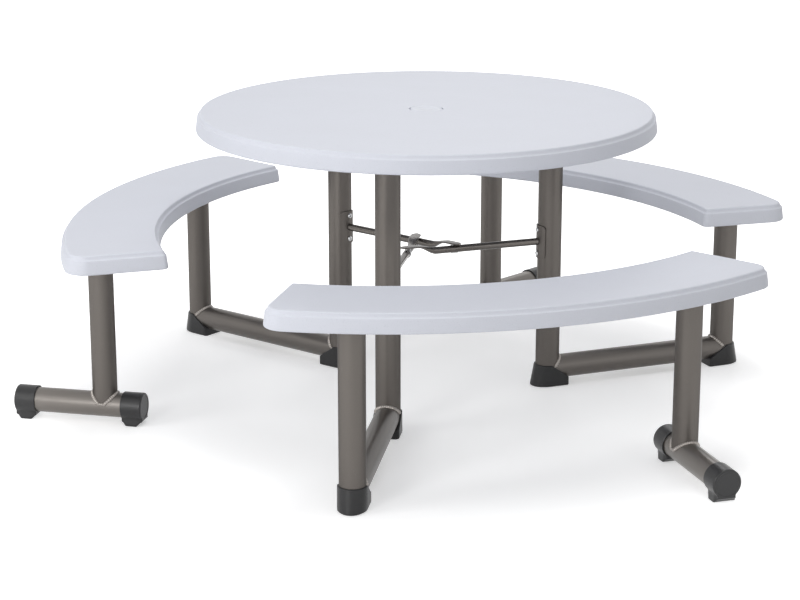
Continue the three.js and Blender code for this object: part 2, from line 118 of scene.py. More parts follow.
# Tubes: points round and along them, how far a foot tube's end lies inside its cap, and the height over
# the middle of the foot tube at which the tips of a post's saddle are cut level
TUBE_TURNS = 64
TUBE_STEPS = 12
TUBE_INSIDE_STEPS = 4
FOOT_TUBE_INSET = 0.0053
POST_TIP_RISE = 0.008

# Weld beads: points along and round them, the least rise of their path, how the laps swell, the least
# share of the full radius, and where a bead thins out as the sine of the turn round the tube
WELD_STEPS = 220
WELD_TURNS = 10
WELD_LEAST_RISE = 0.003
WELD_LAPS = 22
WELD_LOW, WELD_SWELL = 0.85, 0.30
WELD_IN_BOOT, WELD_ABOVE_BOOT = 0.3, (0.20, 0.36)
WELD_AT_SIDES, WELD_OFF_SIDES = 0.7, (0.10, 0.30)

# Corner boots: points round the heel, along the toe, up the side and across the roof, and the roundings
# along the floor, along the top and down the front of the toe
BOOT_HEEL_STEPS = 26
BOOT_TOE_STEPS = 36
BOOT_SIDE_STEPS = 40
BOOT_ROOF_STEPS = 9
BOOT_FLOOR_EDGE = 0.004
BOOT_TOP_EDGE = 0.0024
BOOT_NOSE = 0.006

# Foot caps: their mouth and closed end, the disc that is left there, and the pad underneath
CAP_TURNS = 144
CAP_LENGTH = 0.052
CAP_MOUTH = 0.0012
CAP_MOUTH_DEPTH = 0.004
CAP_BEND = 0.004
CAP_BEND_STEPS = 9
CAP_DISC_EDGE = (0.0052, 0.0064)
CAP_DISC_SINK = 0.0010
CAP_DISC_INSET = 0.020
CAP_LEAST_RADIUS = 0.004
PAD_HALF_WIDTH = 0.0215
PAD_NARROWING = 0.003
PAD_DRAFT = 0.10
PAD_LEAST = 0.0006
PAD_BLEND = 0.0016
PAD_RISE_AT_MOUTH = 0.013
PAD_RISE_AT_END = (0.015, 0.003)

# Umbrella cap: its stem, and the width, depth and drop of the two finger notches
HOLE_CAP_TURNS = 288
STEM_RADIUS, STEM_BORE = 0.0226, 0.0196
NOTCH_FROM = 0.03
NOTCH_WIDTH = 0.16
NOTCH_DEPTH = 0.0055
NOTCH_DROP = 0.0011

# Braces and clips: the gaps at the bracket, inside a clip and under a tongue, where the flat end starts
# before the crossing, the length of its rise and its tip, and the section of a clip as (outward, along)
# points
BRACE_TURNS = 36
BAR_STEPS, RISE_STEPS, FLAT_STEPS, TIP_STEPS = 14, 18, 5, 12
BRACE_GAP = 0.0006
CLIP_GAP = 0.0005
CLIP_WALL = 0.002
CLIP_STEPS = 28
TONGUE_GAP = 0.0003
TONGUE_START = 0.024
TONGUE_RISE = 0.052
TONGUE_TIP = 0.016
TONGUE_TIP_DRAW, TONGUE_TIP_LEAST = 0.92, 0.02
TONGUE_SQUARENESS = 0.55
CLIP_SECTION = (
    (0.0004, -0.0086), (0, -0.0082), (0, 0.0082), (0.0004, 0.0086),
    (0.0016, 0.0086), (CLIP_WALL, 0.0082), (CLIP_WALL, -0.0082), (0.0016, -0.0086),
)

# Brackets: the radius of a plate's corners, the points up and round it, and its edges' bevel
BRACKET_CORNER = 0.010
BRACKET_STEPS = 36
BRACKET_TURNS = 22
BRACKET_BEVEL = 0.0006

# Screw heads. The recess, rim and dome are shares of a head's radius and height
SCREW_HEIGHT = 0.0042
SCREW_TURNS, SCREW_DOME_STEPS, SCREW_DOME_SPACING = 36, 7, 1.5
SMALL_SCREW_RADIUS, SMALL_SCREW_HEIGHT, SMALL_SCREW_TURNS = 0.0052, 0.0032, 24
SCREW_RECESS, SCREW_RECESS_FLOOR, SCREW_RECESS_CONE = 0.36, 0.45, 0.9
SCREW_FOOT, SCREW_RIM, SCREW_DOME = 0.98, 0.3, 0.35
SOCKET_TURNS, PLATE_TURNS = 72, 64
SOCKET_FLANGE = 0.005
SOCKET_SCREW_CIRCLE = 0.048
PLATE_SCREW_CIRCLE = 0.039

# Stage: how much the floor glows to the camera at a distance from the table's middle, less near the middle
# as a painted shadow under the table, the world's level, and the lamps as name, place from the table's
# middle, width, height and power
FLOOR_HALF = 14.0
FLOOR_CELLS = 9
FLOOR_SINK = 0.0004
FLOOR_GREY = 0.80
FLOOR_WHITE_FROM = 1.6
FLOOR_GLOW_AND_SHADE = ((0.4, 0.42), (0.62, 0.35), (0.85, 0.53), (1.1, 0.86), (FLOOR_WHITE_FROM, 1.0))
WORLD_LEVEL = 0.37
LAMP_AIM_HEIGHT = 0.4
LAMPS = (
    ("Overhead", (0.3, -0.2, 5.6), 2.4, 2.4, 93.0),
    ("Key", (-4.2, -1.9, 2.4), 2.0, 2.0, 48.0),
    ("Front", (-2.4, -4.1, 1.5), 1.3, 2.0, 60.0),
    ("Fill", (3.2, -3.4, 1.8), 2.0, 2.0, 12.0),
    ("Back", (0.6, 4.6, 4.0), 2.2, 2.2, 36.0),
)

# Camera: place from the table's middle, turn down from level in degrees, lens and sensor in millimetres
CAMERA_PLACE = (-0.0639, -5.1275, 1.6857)
CAMERA_DOWN = 15.726
CAMERA_LENS = 96.28
CAMERA_SENSOR = 36.0


def length(name, description, default):
    """A length that a user may change, in metres."""
    return FloatProperty(name=name, description=description, default=default, unit="LENGTH", precision=4)


def angle(name, description, degrees):
    """An angle that a user may change, shown in degrees."""
    return FloatProperty(
        name=name, description=description, default=math.radians(degrees), subtype="ANGLE"
    )


def colour(name, description, default):
    """A linear colour that a user may change."""
    return FloatVectorProperty(
        name=name, description=description, default=default, subtype="COLOR", size=3, min=0, max=1
    )


class BENCHTABLE_PG_sizes(PropertyGroup):
    """Sizes of the mouldings, tubes and fittings."""

    shoulder: length("Shoulder radius", "Round edge between the flat top and the rim", 0.0045)
    band_slope: length("Band slope", "How far the band leans out between the shoulder and the ledge", 0.002)
    ledge_drop: length("Ledge drop", "How far the ledge lies below the top", 0.0095)
    ledge_width: length("Ledge width", "How far the ledge stands out", 0.004)
    skirt_flare: length("Skirt flare", "How far the skirt leans out below the ledge", 0.004)
    rim_depth: length("Rim depth", "Height of the whole rim", 0.0445)
    rim_wall: length("Rim wall", "Width of the rim's flat underside", 0.024)
    lip: length("Lip radius", "Round edge at the bottom of the skirt", 0.004)
    top_panel: length("Top panel", "Thickness of the table top", 0.026)
    seat_panel: length("Seat panel", "Thickness of a seat", 0.022)
    seat_radius: length("Seat inner radius", "Radius of a seat's inner edge", 0.930)
    seat_width: length("Seat width", "Depth of a seat from edge to edge", 0.236)
    seat_length: length("Seat length", "Length along the middle of a seat", 1.134)
    outer_corner: length("Seat outer corner", "Plan radius of a seat's corners away from the table", 0.050)
    inner_corner: length("Seat inner corner", "Plan radius of a seat's corners next to the table", 0.016)
    leg_offset: length("Bench leg offset", "How far the bench leg stands outside the seat's middle", 0.041)
    dimple: length("Dimple depth", "Depth of the moulded dimples underneath", 0.006)
    dimple_pitch: length("Dimple pitch", "Spacing of the moulded dimples underneath", 0.062)
    tube: length("Tube diameter", "Outside diameter of the frame tubes", 0.060)
    tube_wall: length("Tube wall", "Wall of the frame tubes", 0.0018)
    tube_height: length("Floor tube height", "Height of the level tubes' middle", 0.044)
    foot_length: length("Outrigger foot", "Length of an outrigger foot over its caps", 0.322)
    weld: length("Weld bead", "Radius of the weld beads", 0.0044)
    boot_height: length("Boot height", "Height of a corner boot", 0.056)
    boot_wall: length("Boot wall", "How far the boots and caps stand off the tubes", 0.0038)
    toe: length("Toe length", "Reach of a boot along the floor tube", 0.048)
    toe_height: length("Toe height", "Height of a boot at its toe", 0.022)
    heel_flare: length("Heel flare", "How far a boot's heel spreads at the floor", 0.012)
    brace: length("Brace diameter", "Diameter of the braces", 0.018)
    brace_angle: angle("Brace angle", "Turn of a brace away from the table's middle", 6.5)
    tongue_width: length("Tongue width", "Width of a brace's flattened end", 0.026)
    tongue: length("Tongue thickness", "Thickness of a brace's flattened end", 0.004)
    bracket_angle: angle("Bracket angle", "Half of the arc that a bracket covers", 48)
    bracket_wall: length("Bracket wall", "Thickness of a brace bracket", 0.003)
    screw: length("Screw head", "Diameter of a bracket screw's head", 0.013)


class BENCHTABLE_PG_finish(PropertyGroup):
    """Colours of the finishes."""

    plastic: colour("Moulding", "Pale grey of the top and the seats", (0.680, 0.699, 0.766))
    speckle: colour("Speckle", "Darker grains in the moulding", (0.480, 0.497, 0.550))
    powder: colour("Powder coat", "Bronze grey of the tubes", (0.130, 0.118, 0.108))
    powder_light: colour("Powder coat, light grains", "Paler grains in the coat", (0.260, 0.238, 0.219))
    # Paler than the powder coat only to paint a brighter sheen on the outrigger feet
    powder_foot_sheen: colour("Powder coat, feet", "Paler coat of the outrigger feet, painted sheen", (0.188, 0.172, 0.157))
    # Paler than the tube coat to paint highlights on the weld beads
    weld: colour("Welds", "Paler coat over the weld beads", (0.400, 0.368, 0.340))
    rubber: colour("Boots", "Black of the boots and foot caps", (0.028, 0.028, 0.029))
    zinc: colour("Zinc", "Bright plate of the screws and clips", (0.640, 0.645, 0.650))


def sizes():
    return bpy.context.scene.bench_table_sizes


def colour_of(name):
    return tuple(getattr(bpy.context.scene.bench_table_finish, name)) + (1.0,)


# Places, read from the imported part


def middle(node_name):
    low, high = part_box(node_name)
    return np.array((low + high) / 2)


def round_solid(node_name):
    """Plan radius, lowest and highest level of a round upright solid."""
    low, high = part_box(node_name)
    return (high.x - low.x) / 2, low.z, high.z


def direction(start, end):
    """The level unit direction from one place to another."""
    flat = (np.array(end) - np.array(start))[:2]
    return flat / np.hypot(*flat)


def turned(flat, turn):
    """A plan direction turned counter-clockwise."""
    c, s = math.cos(turn), math.sin(turn)
    return np.array((c * flat[0] - s * flat[1], s * flat[0] + c * flat[1]))


class BenchFrame:
    """The plan places of one bench frame, each worked out from the boxes of its solids."""

    def __init__(self, side):
        self.side = side
        self.body = f"bench_frame_{side}"
        self.axis = middle("table_top")[:2]
        self.leg = middle(f"table_leg_{side}")[:2]
        self.bench_leg = middle(f"bench_leg_{side}")[:2]
        self.post = middle(f"outrigger_post_{side}")[:2]
        self.foot_middle = middle(f"outrigger_foot_{side}")[:2]
        self.along = direction(self.leg, self.bench_leg)
        self.foot = direction(middle(f"foot_cap_inner_{side}"), middle(f"foot_cap_outer_{side}"))
        self.inward = turned(-direction(self.axis, self.leg), sizes().brace_angle)
        self.brace_height = middle(f"brace_bracket_{side}")[2]

    def crossing(self):
        """Distance along a brace from its leg to where it crosses the next frame's brace."""
        reach = float(np.hypot(*(self.leg - self.axis)))
        hub = reach * math.sin(sizes().brace_angle)
        return reach * math.cos(sizes().brace_angle) + hub * math.tan(math.pi / 3)


def bench_frames():
    return [BenchFrame(side) for side in SIDES]


def placed(points, place, heading=(1, 0), lift=0.0):
    """Moves points from a piece's own axes, x along the heading and y to its left, to where it belongs."""
    heading = np.asarray(heading)
    left = np.array((-heading[1], heading[0]))
    flat = points[..., :1] * heading + points[..., 1:2] * left + np.asarray(place)
    return np.concatenate((flat, points[..., 2:] + lift), axis=-1)


def plan_distance(points, place):
    """Distance of points from the upright line through a place."""
    return np.hypot(*np.moveaxis(points[..., :2] - place, -1, 0))


def xyz(x, y, z):
    """Stacks three arrays of coordinates into points, spreading any that are constant."""
    return np.stack(np.broadcast_arrays(x, y, z), axis=-1).astype(float)


def fade(distance, start, end):
    """Rises smoothly from 0 at start to 1 at end."""
    t = np.clip((distance - start) / (end - start), 0, 1)
    return t * t * (3 - 2 * t)


def round_angles(count):
    return np.linspace(0, TURN, count, endpoint=False)


# Meshes from grids of points. A grid is (points, close_rows, close_columns, cap): points[row, column]
# is a place, neighbours are joined by four-cornered faces, and cap closes the first and last row with a
# flat face


def closed(points):
    """A grid that closes both ways, as a ring does."""
    return points, True, True, False


def shell(points):
    """A grid that closes round, with its first and last row left as they are."""
    return points, False, True, False


def capped(points):
    """A grid that closes round, with a flat face over its first and last row."""
    return points, False, True, True


def strip(points):
    """A grid that closes neither way."""
    return points, False, False, False


def grid_faces(rows, columns, close_rows, close_columns, start=0):
    """Four-cornered faces between neighbouring rows and columns of a grid of points."""
    i = np.arange(rows if close_rows else rows - 1)[:, None]
    j = np.arange(columns if close_columns else columns - 1)[None, :]
    right, down = (j + 1) % columns, (i + 1) % rows
    faces = np.stack(
        (i * columns + j, i * columns + right, down * columns + right, down * columns + j), axis=-1
    )
    return faces.reshape(-1, 4) + start


def piece(name, grids, finish_name, body, replaces=(), sharp=35.0, bevel=0.0):
    """Makes one piece from grids of points, with edges kept sharp past an angle in degrees."""
    vertices, faces, start = [], [], 0
    for points, close_rows, close_columns, cap in grids:
        rows, columns = points.shape[:2]
        vertices.append(points.reshape(-1, 3))
        faces += grid_faces(rows, columns, close_rows, close_columns, start).tolist()
        if cap:
            faces.append((start + np.arange(columns)).tolist())
            faces.append((start + (rows - 1) * columns + np.arange(columns)).tolist())
        start += rows * columns
    mesh = bpy.data.meshes.new(name)
    mesh.from_pydata(np.concatenate(vertices).tolist(), [], faces)
    skin = bmesh.new()
    skin.from_mesh(mesh)
    bmesh.ops.remove_doubles(skin, verts=skin.verts, dist=JOIN_WITHIN)
    bmesh.ops.dissolve_degenerate(skin, edges=skin.edges, dist=SLIVER)
    bmesh.ops.recalc_face_normals(skin, faces=skin.faces)
    skin.to_mesh(mesh)
    skin.free()
    mesh.polygons.foreach_set("use_smooth", np.ones(len(mesh.polygons), dtype=bool))
    mesh.set_sharp_from_angle(angle=math.radians(sharp))
    mesh.materials.append(finish(finish_name))
    made = bpy.data.objects.new(name, mesh)
    bpy.context.scene.collection.objects.link(made)
    if bevel:
        edge = made.modifiers.new("Edge", "BEVEL")
        edge.width = bevel
        edge.segments = 2
        edge.limit_method = "ANGLE"
        edge.harden_normals = False
    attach(made, body)
    if replaces:
        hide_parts(*replaces)
    return made


def lathe(profile, count, place, lift=0.0):
    """A profile of (radius, height) points turned about the upright line through a place."""
    profile = np.asarray(profile, dtype=float)
    t = round_angles(count)[None, :]
    r, z = profile[:, :1], profile[:, 1:]
    return placed(xyz(r * np.cos(t), r * np.sin(t), z), place, lift=lift)


# Finishes. base and fleck are colours of the finish group, gloss is the lowest and highest roughness,
# bump_depth the grain's height in metres, and edge how bright a metallic surface turns where it is seen
# at a low angle

MOULDING = dict(base="plastic", fleck="speckle", fleck_scale=420.0, specular=0.4)
POWDER_COAT = dict(base="powder", fleck="powder_light", fleck_share=0.5, fleck_scale=900.0,
                   fine=640.0, broad=4.0, bump=0.30, bump_depth=0.0004, metallic=0.6)
BLACK_PLASTIC = dict(base="rubber", fleck="powder", fleck_share=0.25, fleck_scale=700.0,
                     fine=800.0, broad=12.0, bump=0.4, bump_depth=0.0005)
FINISHES = {
    "moulding": dict(MOULDING, label="Speckled moulding", fleck_share=0.45, fine=520.0, broad=5.0,
                     bump=0.35, bump_depth=0.0006, gloss=(0.50, 0.62)),
    "hole cap": dict(MOULDING, label="Cap moulding", fleck_share=0.3, fine=700.0, broad=9.0,
                     bump=0.25, bump_depth=0.0004, gloss=(0.45, 0.55)),
    # Uprights, brackets and plates: the powder coat with its edge reflections turned down, painted shade
    # along the tubes' sides; the level tubes keep full edge reflections
    "upright coat, painted dark edges": dict(POWDER_COAT, label="Bronze powder coat", gloss=(0.32, 0.40), edge=0.30),
    "level coat": dict(POWDER_COAT, label="Bronze powder coat, level tubes", gloss=(0.30, 0.38)),
    # Outrigger feet: a paler copy of the powder coat, painted sheen along their tops
    "foot coat, painted sheen": dict(POWDER_COAT, label="Bronze powder coat, outrigger feet", base="powder_foot_sheen",
                      gloss=(0.26, 0.34), metallic=0.45),
    # Braces: a paler, glossier and more metallic copy of the powder coat, painted highlights along the bars
    # and tongues
    "brace highlight coat": dict(POWDER_COAT, label="Worn powder coat", fleck_share=0.9, fleck_scale=500.0,
                      broad=9.0, bump=0.25, bump_depth=0.0003, gloss=(0.15, 0.24), metallic=0.7),
    # Welds: a paler coat that paints the beads' highlights
    "weld": dict(label="Coated weld", base="weld", fleck="zinc", fleck_share=0.5, fleck_scale=700.0,
                 fine=500.0, broad=6.0, bump=0.3, bump_depth=0.0004, gloss=(0.24, 0.34), metallic=0.5),
    "boot": dict(BLACK_PLASTIC, label="Black boot plastic", gloss=(0.32, 0.42), specular=0.3),
    "foot cap": dict(BLACK_PLASTIC, label="Black cap plastic", gloss=(0.28, 0.36), specular=0.38),
    "zinc": dict(label="Bright zinc", base="zinc", fleck="powder_light", fleck_share=0.3,
                 fleck_scale=500.0, fine=600.0, broad=30.0, bump=0.12, bump_depth=0.0003,
                 gloss=(0.22, 0.34), metallic=1.0),
}
DRIFT = (0.96, 1.04)
FLECK_TOP = 0.78


def finish(name):
    """One of FINISHES as a material, made at its first use."""
    return bpy.data.materials.get(FINISHES[name]["label"]) or new_finish(**FINISHES[name])


def node(tree, kind, x, y, **inputs):
    made = tree.nodes.new(kind)
    made.location = (x, y)
    for key, value in inputs.items():
        made.inputs[key.replace("_", " ")].default_value = value
    return made


def new_group(name, inputs, outputs):
    """A shader node group that takes a place and named numbers, and gives named numbers."""
    group = bpy.data.node_groups.new(name, "ShaderNodeTree")
    group.interface.new_socket(name="Vector", in_out="INPUT", socket_type="NodeSocketVector")
    for label, default in inputs:
        socket = group.interface.new_socket(name=label, in_out="INPUT", socket_type="NodeSocketFloat")
        socket.default_value = default
    for label in outputs:
        group.interface.new_socket(name=label, in_out="OUTPUT", socket_type="NodeSocketFloat")
    end = node(group, "NodeGroupOutput", 700, 0)
    return group, group.nodes.new("NodeGroupInput"), end


def grain_group():
    """Fine moulded or sprayed grain: a fine noise for the height, and a slow one for colour and gloss."""
    made = bpy.data.node_groups.get("Surface grain")
    if made:
        return made
    group, start, end = new_group("Surface grain", (("Fine", 900.0), ("Broad", 6.0)), ("Height", "Drift"))
    fine = node(group, "ShaderNodeTexNoise", 200, 150, Detail=3.0, Roughness=0.55)
    broad = node(group, "ShaderNodeTexNoise", 200, -150, Detail=4.0, Roughness=0.5)
    for texture, scale, result in ((fine, "Fine", "Height"), (broad, "Broad", "Drift")):
        group.links.new(start.outputs["Vector"], texture.inputs["Vector"])
        group.links.new(start.outputs[scale], texture.inputs["Scale"])
        group.links.new(texture.outputs["Fac"], end.inputs[result])
    return group


def speckle_group():
    """Flecks of a second colour: a fine noise kept only above a level, so that small grains are left."""
    made = bpy.data.node_groups.get("Flecks")
    if made:
        return made
    group, start, end = new_group("Flecks", (("Scale", 300.0), ("Level", 0.6)), ("Mask",))
    noise = node(group, "ShaderNodeTexNoise", 200, 0, Detail=2.0, Roughness=0.6)
    keep = node(group, "ShaderNodeMapRange", 450, 0, From_Max=FLECK_TOP)
    group.links.new(start.outputs["Vector"], noise.inputs["Vector"])
    group.links.new(start.outputs["Scale"], noise.inputs["Scale"])
    group.links.new(noise.outputs["Fac"], keep.inputs["Value"])
    group.links.new(start.outputs["Level"], keep.inputs["From Min"])
    group.links.new(keep.outputs["Result"], end.inputs["Mask"])
    return group


def new_finish(label, base, fleck, fleck_share, fleck_scale, fine, broad, bump, bump_depth, gloss,
               metallic=0.0, specular=0.5, edge=1.0):
    """A finish with flecks of a second colour, a slow drift in colour and gloss, and a fine grain."""
    made = bpy.data.materials.new(label)
    made.use_nodes = True
    tree = made.node_tree
    shader = tree.nodes["Principled BSDF"]
    place = node(tree, "ShaderNodeTexCoord", -1100, 0)
    grain = node(tree, "ShaderNodeGroup", -850, -150)
    grain.node_tree = grain_group()
    grain.inputs["Fine"].default_value = fine
    grain.inputs["Broad"].default_value = broad
    flecks = node(tree, "ShaderNodeGroup", -850, 150)
    flecks.node_tree = speckle_group()
    flecks.inputs["Scale"].default_value = fleck_scale
    share = node(tree, "ShaderNodeMath", -600, 150)
    share.operation = "MULTIPLY"
    share.inputs[1].default_value = fleck_share
    mix = node(tree, "ShaderNodeMix", -400, 200)
    mix.data_type = "RGBA"
    mix.inputs["A"].default_value = colour_of(base)
    mix.inputs["B"].default_value = colour_of(fleck)
    drift = node(tree, "ShaderNodeMapRange", -600, -50, To_Min=DRIFT[0], To_Max=DRIFT[1])
    shade = node(tree, "ShaderNodeVectorMath", -200, 150)
    shade.operation = "MULTIPLY"
    rough = node(tree, "ShaderNodeMapRange", -400, -150, To_Min=gloss[0], To_Max=gloss[1])
    relief = node(tree, "ShaderNodeBump", -250, -350, Strength=bump, Distance=bump_depth)
    link = tree.links.new
    link(place.outputs["Object"], grain.inputs["Vector"])
    link(place.outputs["Object"], flecks.inputs["Vector"])
    link(flecks.outputs["Mask"], share.inputs[0])
    link(share.outputs[0], mix.inputs["Factor"])
    link(grain.outputs["Drift"], drift.inputs["Value"])
    link(mix.outputs["Result"], shade.inputs[0])
    link(drift.outputs["Result"], shade.inputs[1])
    link(shade.outputs["Vector"], shader.inputs["Base Color"])
    link(grain.outputs["Drift"], rough.inputs["Value"])
    link(rough.outputs["Result"], shader.inputs["Roughness"])
    link(grain.outputs["Height"], relief.inputs["Height"])
    link(relief.outputs["Normal"], shader.inputs["Normal"])
    shader.inputs["Metallic"].default_value = metallic
    shader.inputs["Specular IOR Level"].default_value = specular
    shader.inputs["Specular Tint"].default_value = (edge, edge, edge, 1)
    return made


# Mouldings


def rim_profile(panel):
    """The rim as (inset, drop) points: a quarter circle for the shoulder, a sloping band, a small
    ledge, a skirt that leans out, a quarter circle for the lip, a flat underside and a wall back up to
    the panel."""
    s = sizes()
    wall = s.ledge_width + s.skirt_flare
    brow = wall + s.band_slope
    t = np.linspace(0, QUARTER, RIM_STEPS)
    shoulder = np.stack((brow + s.shoulder * (1 - np.sin(t)), s.shoulder * (1 - np.cos(t))), axis=-1)
    ledge = (
        (wall, s.ledge_drop - LEDGE_CREASE),
        (wall - LEDGE_CREASE, s.ledge_drop + LEDGE_CREASE * LEDGE_CREASE_SINK),
    )
    edge = np.array(LEDGE_EDGE) + (s.skirt_flare, s.ledge_drop)
    lip = np.stack((s.lip * (1 - np.cos(t)), s.rim_depth - s.lip * (1 - np.sin(t))), axis=-1)
    skirt = np.linspace(edge[-1], lip[0], SKIRT_STEPS)[1:-1]
    inside = ((s.rim_wall - RIM_INSIDE_EDGE, s.rim_depth), (s.rim_wall, s.rim_depth - RIM_INSIDE_EDGE))
    to_panel = np.array(RIM_TO_PANEL) + (s.rim_wall, panel)
    return np.concatenate((shoulder, ledge, edge, skirt, lip, inside, to_panel))


def press_dimples(patch, centre, clear):
    """Lifts the points of an underside into dimples: a smooth bowl round each point of a staggered
    lattice, faded out where clear is 0."""
    s = sizes()
    x, y = patch[..., 0] - centre[0], patch[..., 1] - centre[1]
    pitch = s.dimple_pitch
    row = pitch * math.sqrt(3) / 2
    nearest = np.full(np.shape(x), 1.0)
    for shift in (0, 1):
        j = np.round((y / row - shift) / 2) * 2 + shift
        i = np.round(x / pitch - 0.5 * shift) + 0.5 * shift
        nearest = np.minimum(nearest, np.hypot(x - i * pitch, y - j * row) / pitch)
    bowl = np.clip(1 - (nearest / DIMPLE_RADIUS) ** 2, 0, 1)
    patch[..., 2] += s.dimple * bowl * bowl * (3 - 2 * bowl) * clear


def level_run(start, end, count, height):
    """Points at one height, evenly spaced from a start that is left out to an end that is kept."""
    return np.stack((np.linspace(start, end, count)[1:], np.full(count - 1, height)), axis=-1)


def table_top():
    """A lathe surface: the recess for the cap, the flat top, the rim, and an underside with dimples."""
    s = sizes()
    radius, _, top = round_solid("table_top")
    centre = middle("table_top")[:2]
    under, floor, hole = top - s.top_panel, top - RECESS_DEPTH, HOLE_RADIUS
    recess = round_solid("umbrella_cap")[0] + RECESS_GAP
    t = np.linspace(0, QUARTER, RECESS_EDGE_STEPS)
    brim = np.stack((recess + RECESS_EDGE * (1 - np.cos(t)), top - RECESS_EDGE * (1 - np.sin(t))), axis=-1)
    rim = rim_profile(s.top_panel) * (-1, -1) + (radius, top)
    flat = level_run(rim[0, 0], recess + RECESS_BORDER, TOP_STEPS, top)[::-1]
    inner = level_run(rim[-1, 0], hole + HOLE_BORDER, TOP_UNDERSIDE_STEPS, under)
    mouth = ((hole, under + HOLE_EDGE), (hole, floor), (recess, floor))
    chamfer = np.array((HOLE_EDGE_MIDDLE,)) + (hole, under)
    ring = np.concatenate((mouth, brim, flat, rim, inner, chamfer))
    surface = lathe(ring, TOP_TURNS, centre)
    patch = surface[len(ring) - len(inner) - 1:]
    clear = fade(plan_distance(patch, centre), *CLEAR_OF_HOLE)
    clear *= 1 - fade(plan_distance(patch, centre), *(radius - np.array(CLEAR_OF_TABLE_EDGE)))
    for bench in bench_frames():
        clear *= fade(plan_distance(patch, bench.leg), *CLEAR_OF_TABLE_LEG)
    press_dimples(patch, centre, clear)
    return [closed(surface)]


def seat_outline(inset):
    """Plan outlines of a seat about its own arc's centre, one row for each inset: two arcs, two
    straight ends that point at the centre, and four round corners."""
    s = sizes()
    inset = np.asarray(inset, dtype=float)[:, None]
    inner, outer = s.seat_radius + inset, s.seat_radius + s.seat_width - inset
    half = s.seat_length / 2 / (s.seat_radius + s.seat_width / 2)
    wide, tight = (np.maximum(size - inset, SEAT_LEAST_CORNER) for size in (s.outer_corner, s.inner_corner))

    def corner_turn(centre, rounding):
        return half - np.arcsin((rounding + inset) / centre)

    def corner(centre, rounding, turn, start, end):
        t = start + (end - start) * np.linspace(0, 1, CORNER_STEPS)[None, :]
        x = centre * np.cos(turn) + rounding * np.cos(t)
        y = centre * np.sin(turn) + rounding * np.sin(t)
        return np.stack((x, y), axis=-1)

    def long_side(radius, start, end):
        t = start + (end - start) * np.linspace(0, 1, ARC_STEPS)[None, 1:-1]
        return np.stack((radius * np.cos(t), radius * np.sin(t)), axis=-1)

    far, near = corner_turn(outer - wide, wide), corner_turn(inner + tight, tight)
    end = half + QUARTER
    return np.concatenate(
        (
            long_side(outer, -far, far),
            corner(outer - wide, wide, far, far, end + 0 * far),
            corner(inner + tight, tight, near, end + 0 * near, near + math.pi),
            long_side(inner, near, -near),
            corner(inner + tight, tight, -near, math.pi - near, TURN - end + 0 * near),
            corner(outer - wide, wide, -far, -end + 0 * far, -far),
        ),
        axis=1,
    )


def bench_seat(bench):
    """A seat as rings of its outline, drawn in or out along the rim's profile, with dimples underneath."""
    s = sizes()
    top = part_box(f"bench_seat_{bench.side}")[1].z
    rim = rim_profile(s.seat_panel)
    reach = s.seat_width / 2 - SEAT_MIDDLE
    over = level_run(rim[0, 0], reach, SEAT_STEPS, 0.0)[::-1]
    below = level_run(rim[-1, 0], reach, SEAT_UNDERSIDE_STEPS, s.seat_panel)
    profile = np.concatenate((over, rim, below))
    outline = seat_outline(profile[:, 0])
    along = float(np.dot(bench.bench_leg - bench.axis, bench.foot))
    aside = float(np.dot(bench.bench_leg - bench.axis, (-bench.foot[1], bench.foot[0])))
    leg_radius = s.seat_radius + s.seat_width / 2 + s.leg_offset
    centre = bench.axis + bench.foot * (along - math.sqrt(leg_radius**2 - aside**2))
    surface = placed(xyz(outline[..., 0], outline[..., 1], top - profile[:, 1:]), centre, bench.foot)
    patch = surface[-len(below):]
    inset = np.broadcast_to(below[:, :1], patch.shape[:2])
    clear = 1 - fade(-inset, *(-np.array(CLEAR_OF_SEAT_EDGE)))
    for post in (bench.bench_leg, bench.post):
        clear *= fade(plan_distance(patch, post), *CLEAR_OF_SEAT_LEG)
    press_dimples(patch, centre, clear)
    return [shell(surface), strip(middle_strip(surface[0])), strip(middle_strip(surface[-1]))]


def middle_strip(ring):
    """Closes the last narrow ring of a seat: each point of its outer half is joined to the one across
    from it."""
    outer = np.arange(-CORNER_STEPS, ARC_STEPS - 2 + CORNER_STEPS)
    across = 2 * (ARC_STEPS - 2 + CORNER_STEPS) - 1 - outer
    return np.stack((ring[outer % len(ring)], ring[across % len(ring)]))


def umbrella_cap():
    """A lathe surface whose edge draws in at two finger notches, with a shallow ring and a stem below."""
    radius, bottom, top = round_solid("umbrella_cap")
    stem_end = bottom - top
    t = round_angles(HOLE_CAP_TURNS)
    notch = np.exp(-((np.sin(t) / NOTCH_WIDTH) ** 2))
    profile = np.array(
        (
            (0.0, -0.0012),
            (0.0225, -0.0012),
            (0.0238, -0.0004),
            (0.0250, 0.0),
            (radius - 0.0060, 0.0),
            (radius - 0.0024, 0.0),
            (radius - 0.0011, -0.0004),
            (radius - 0.0006, -0.0014),
            (radius - 0.0004, -0.0030),
            (STEM_RADIUS, -0.0030),
            (STEM_RADIUS, stem_end + 0.001),
            (STEM_RADIUS - 0.001, stem_end),
            (STEM_BORE, stem_end),
            (STEM_BORE, -0.0044),
            (0.0, -0.0044),
        )
    )
    r, z = profile[:, :1], profile[:, 1:]
    outer = fade(r, NOTCH_FROM, radius - 0.001)
    drawn = r - NOTCH_DEPTH * notch * outer * (r > NOTCH_FROM)
    sunk = z - NOTCH_DROP * notch * outer * (z > -0.002)
    surface = xyz(drawn * np.cos(t), drawn * np.sin(t), sunk)
    return [shell(placed(surface, middle("umbrella_cap")[:2], lift=top))]


# Tubes and welds


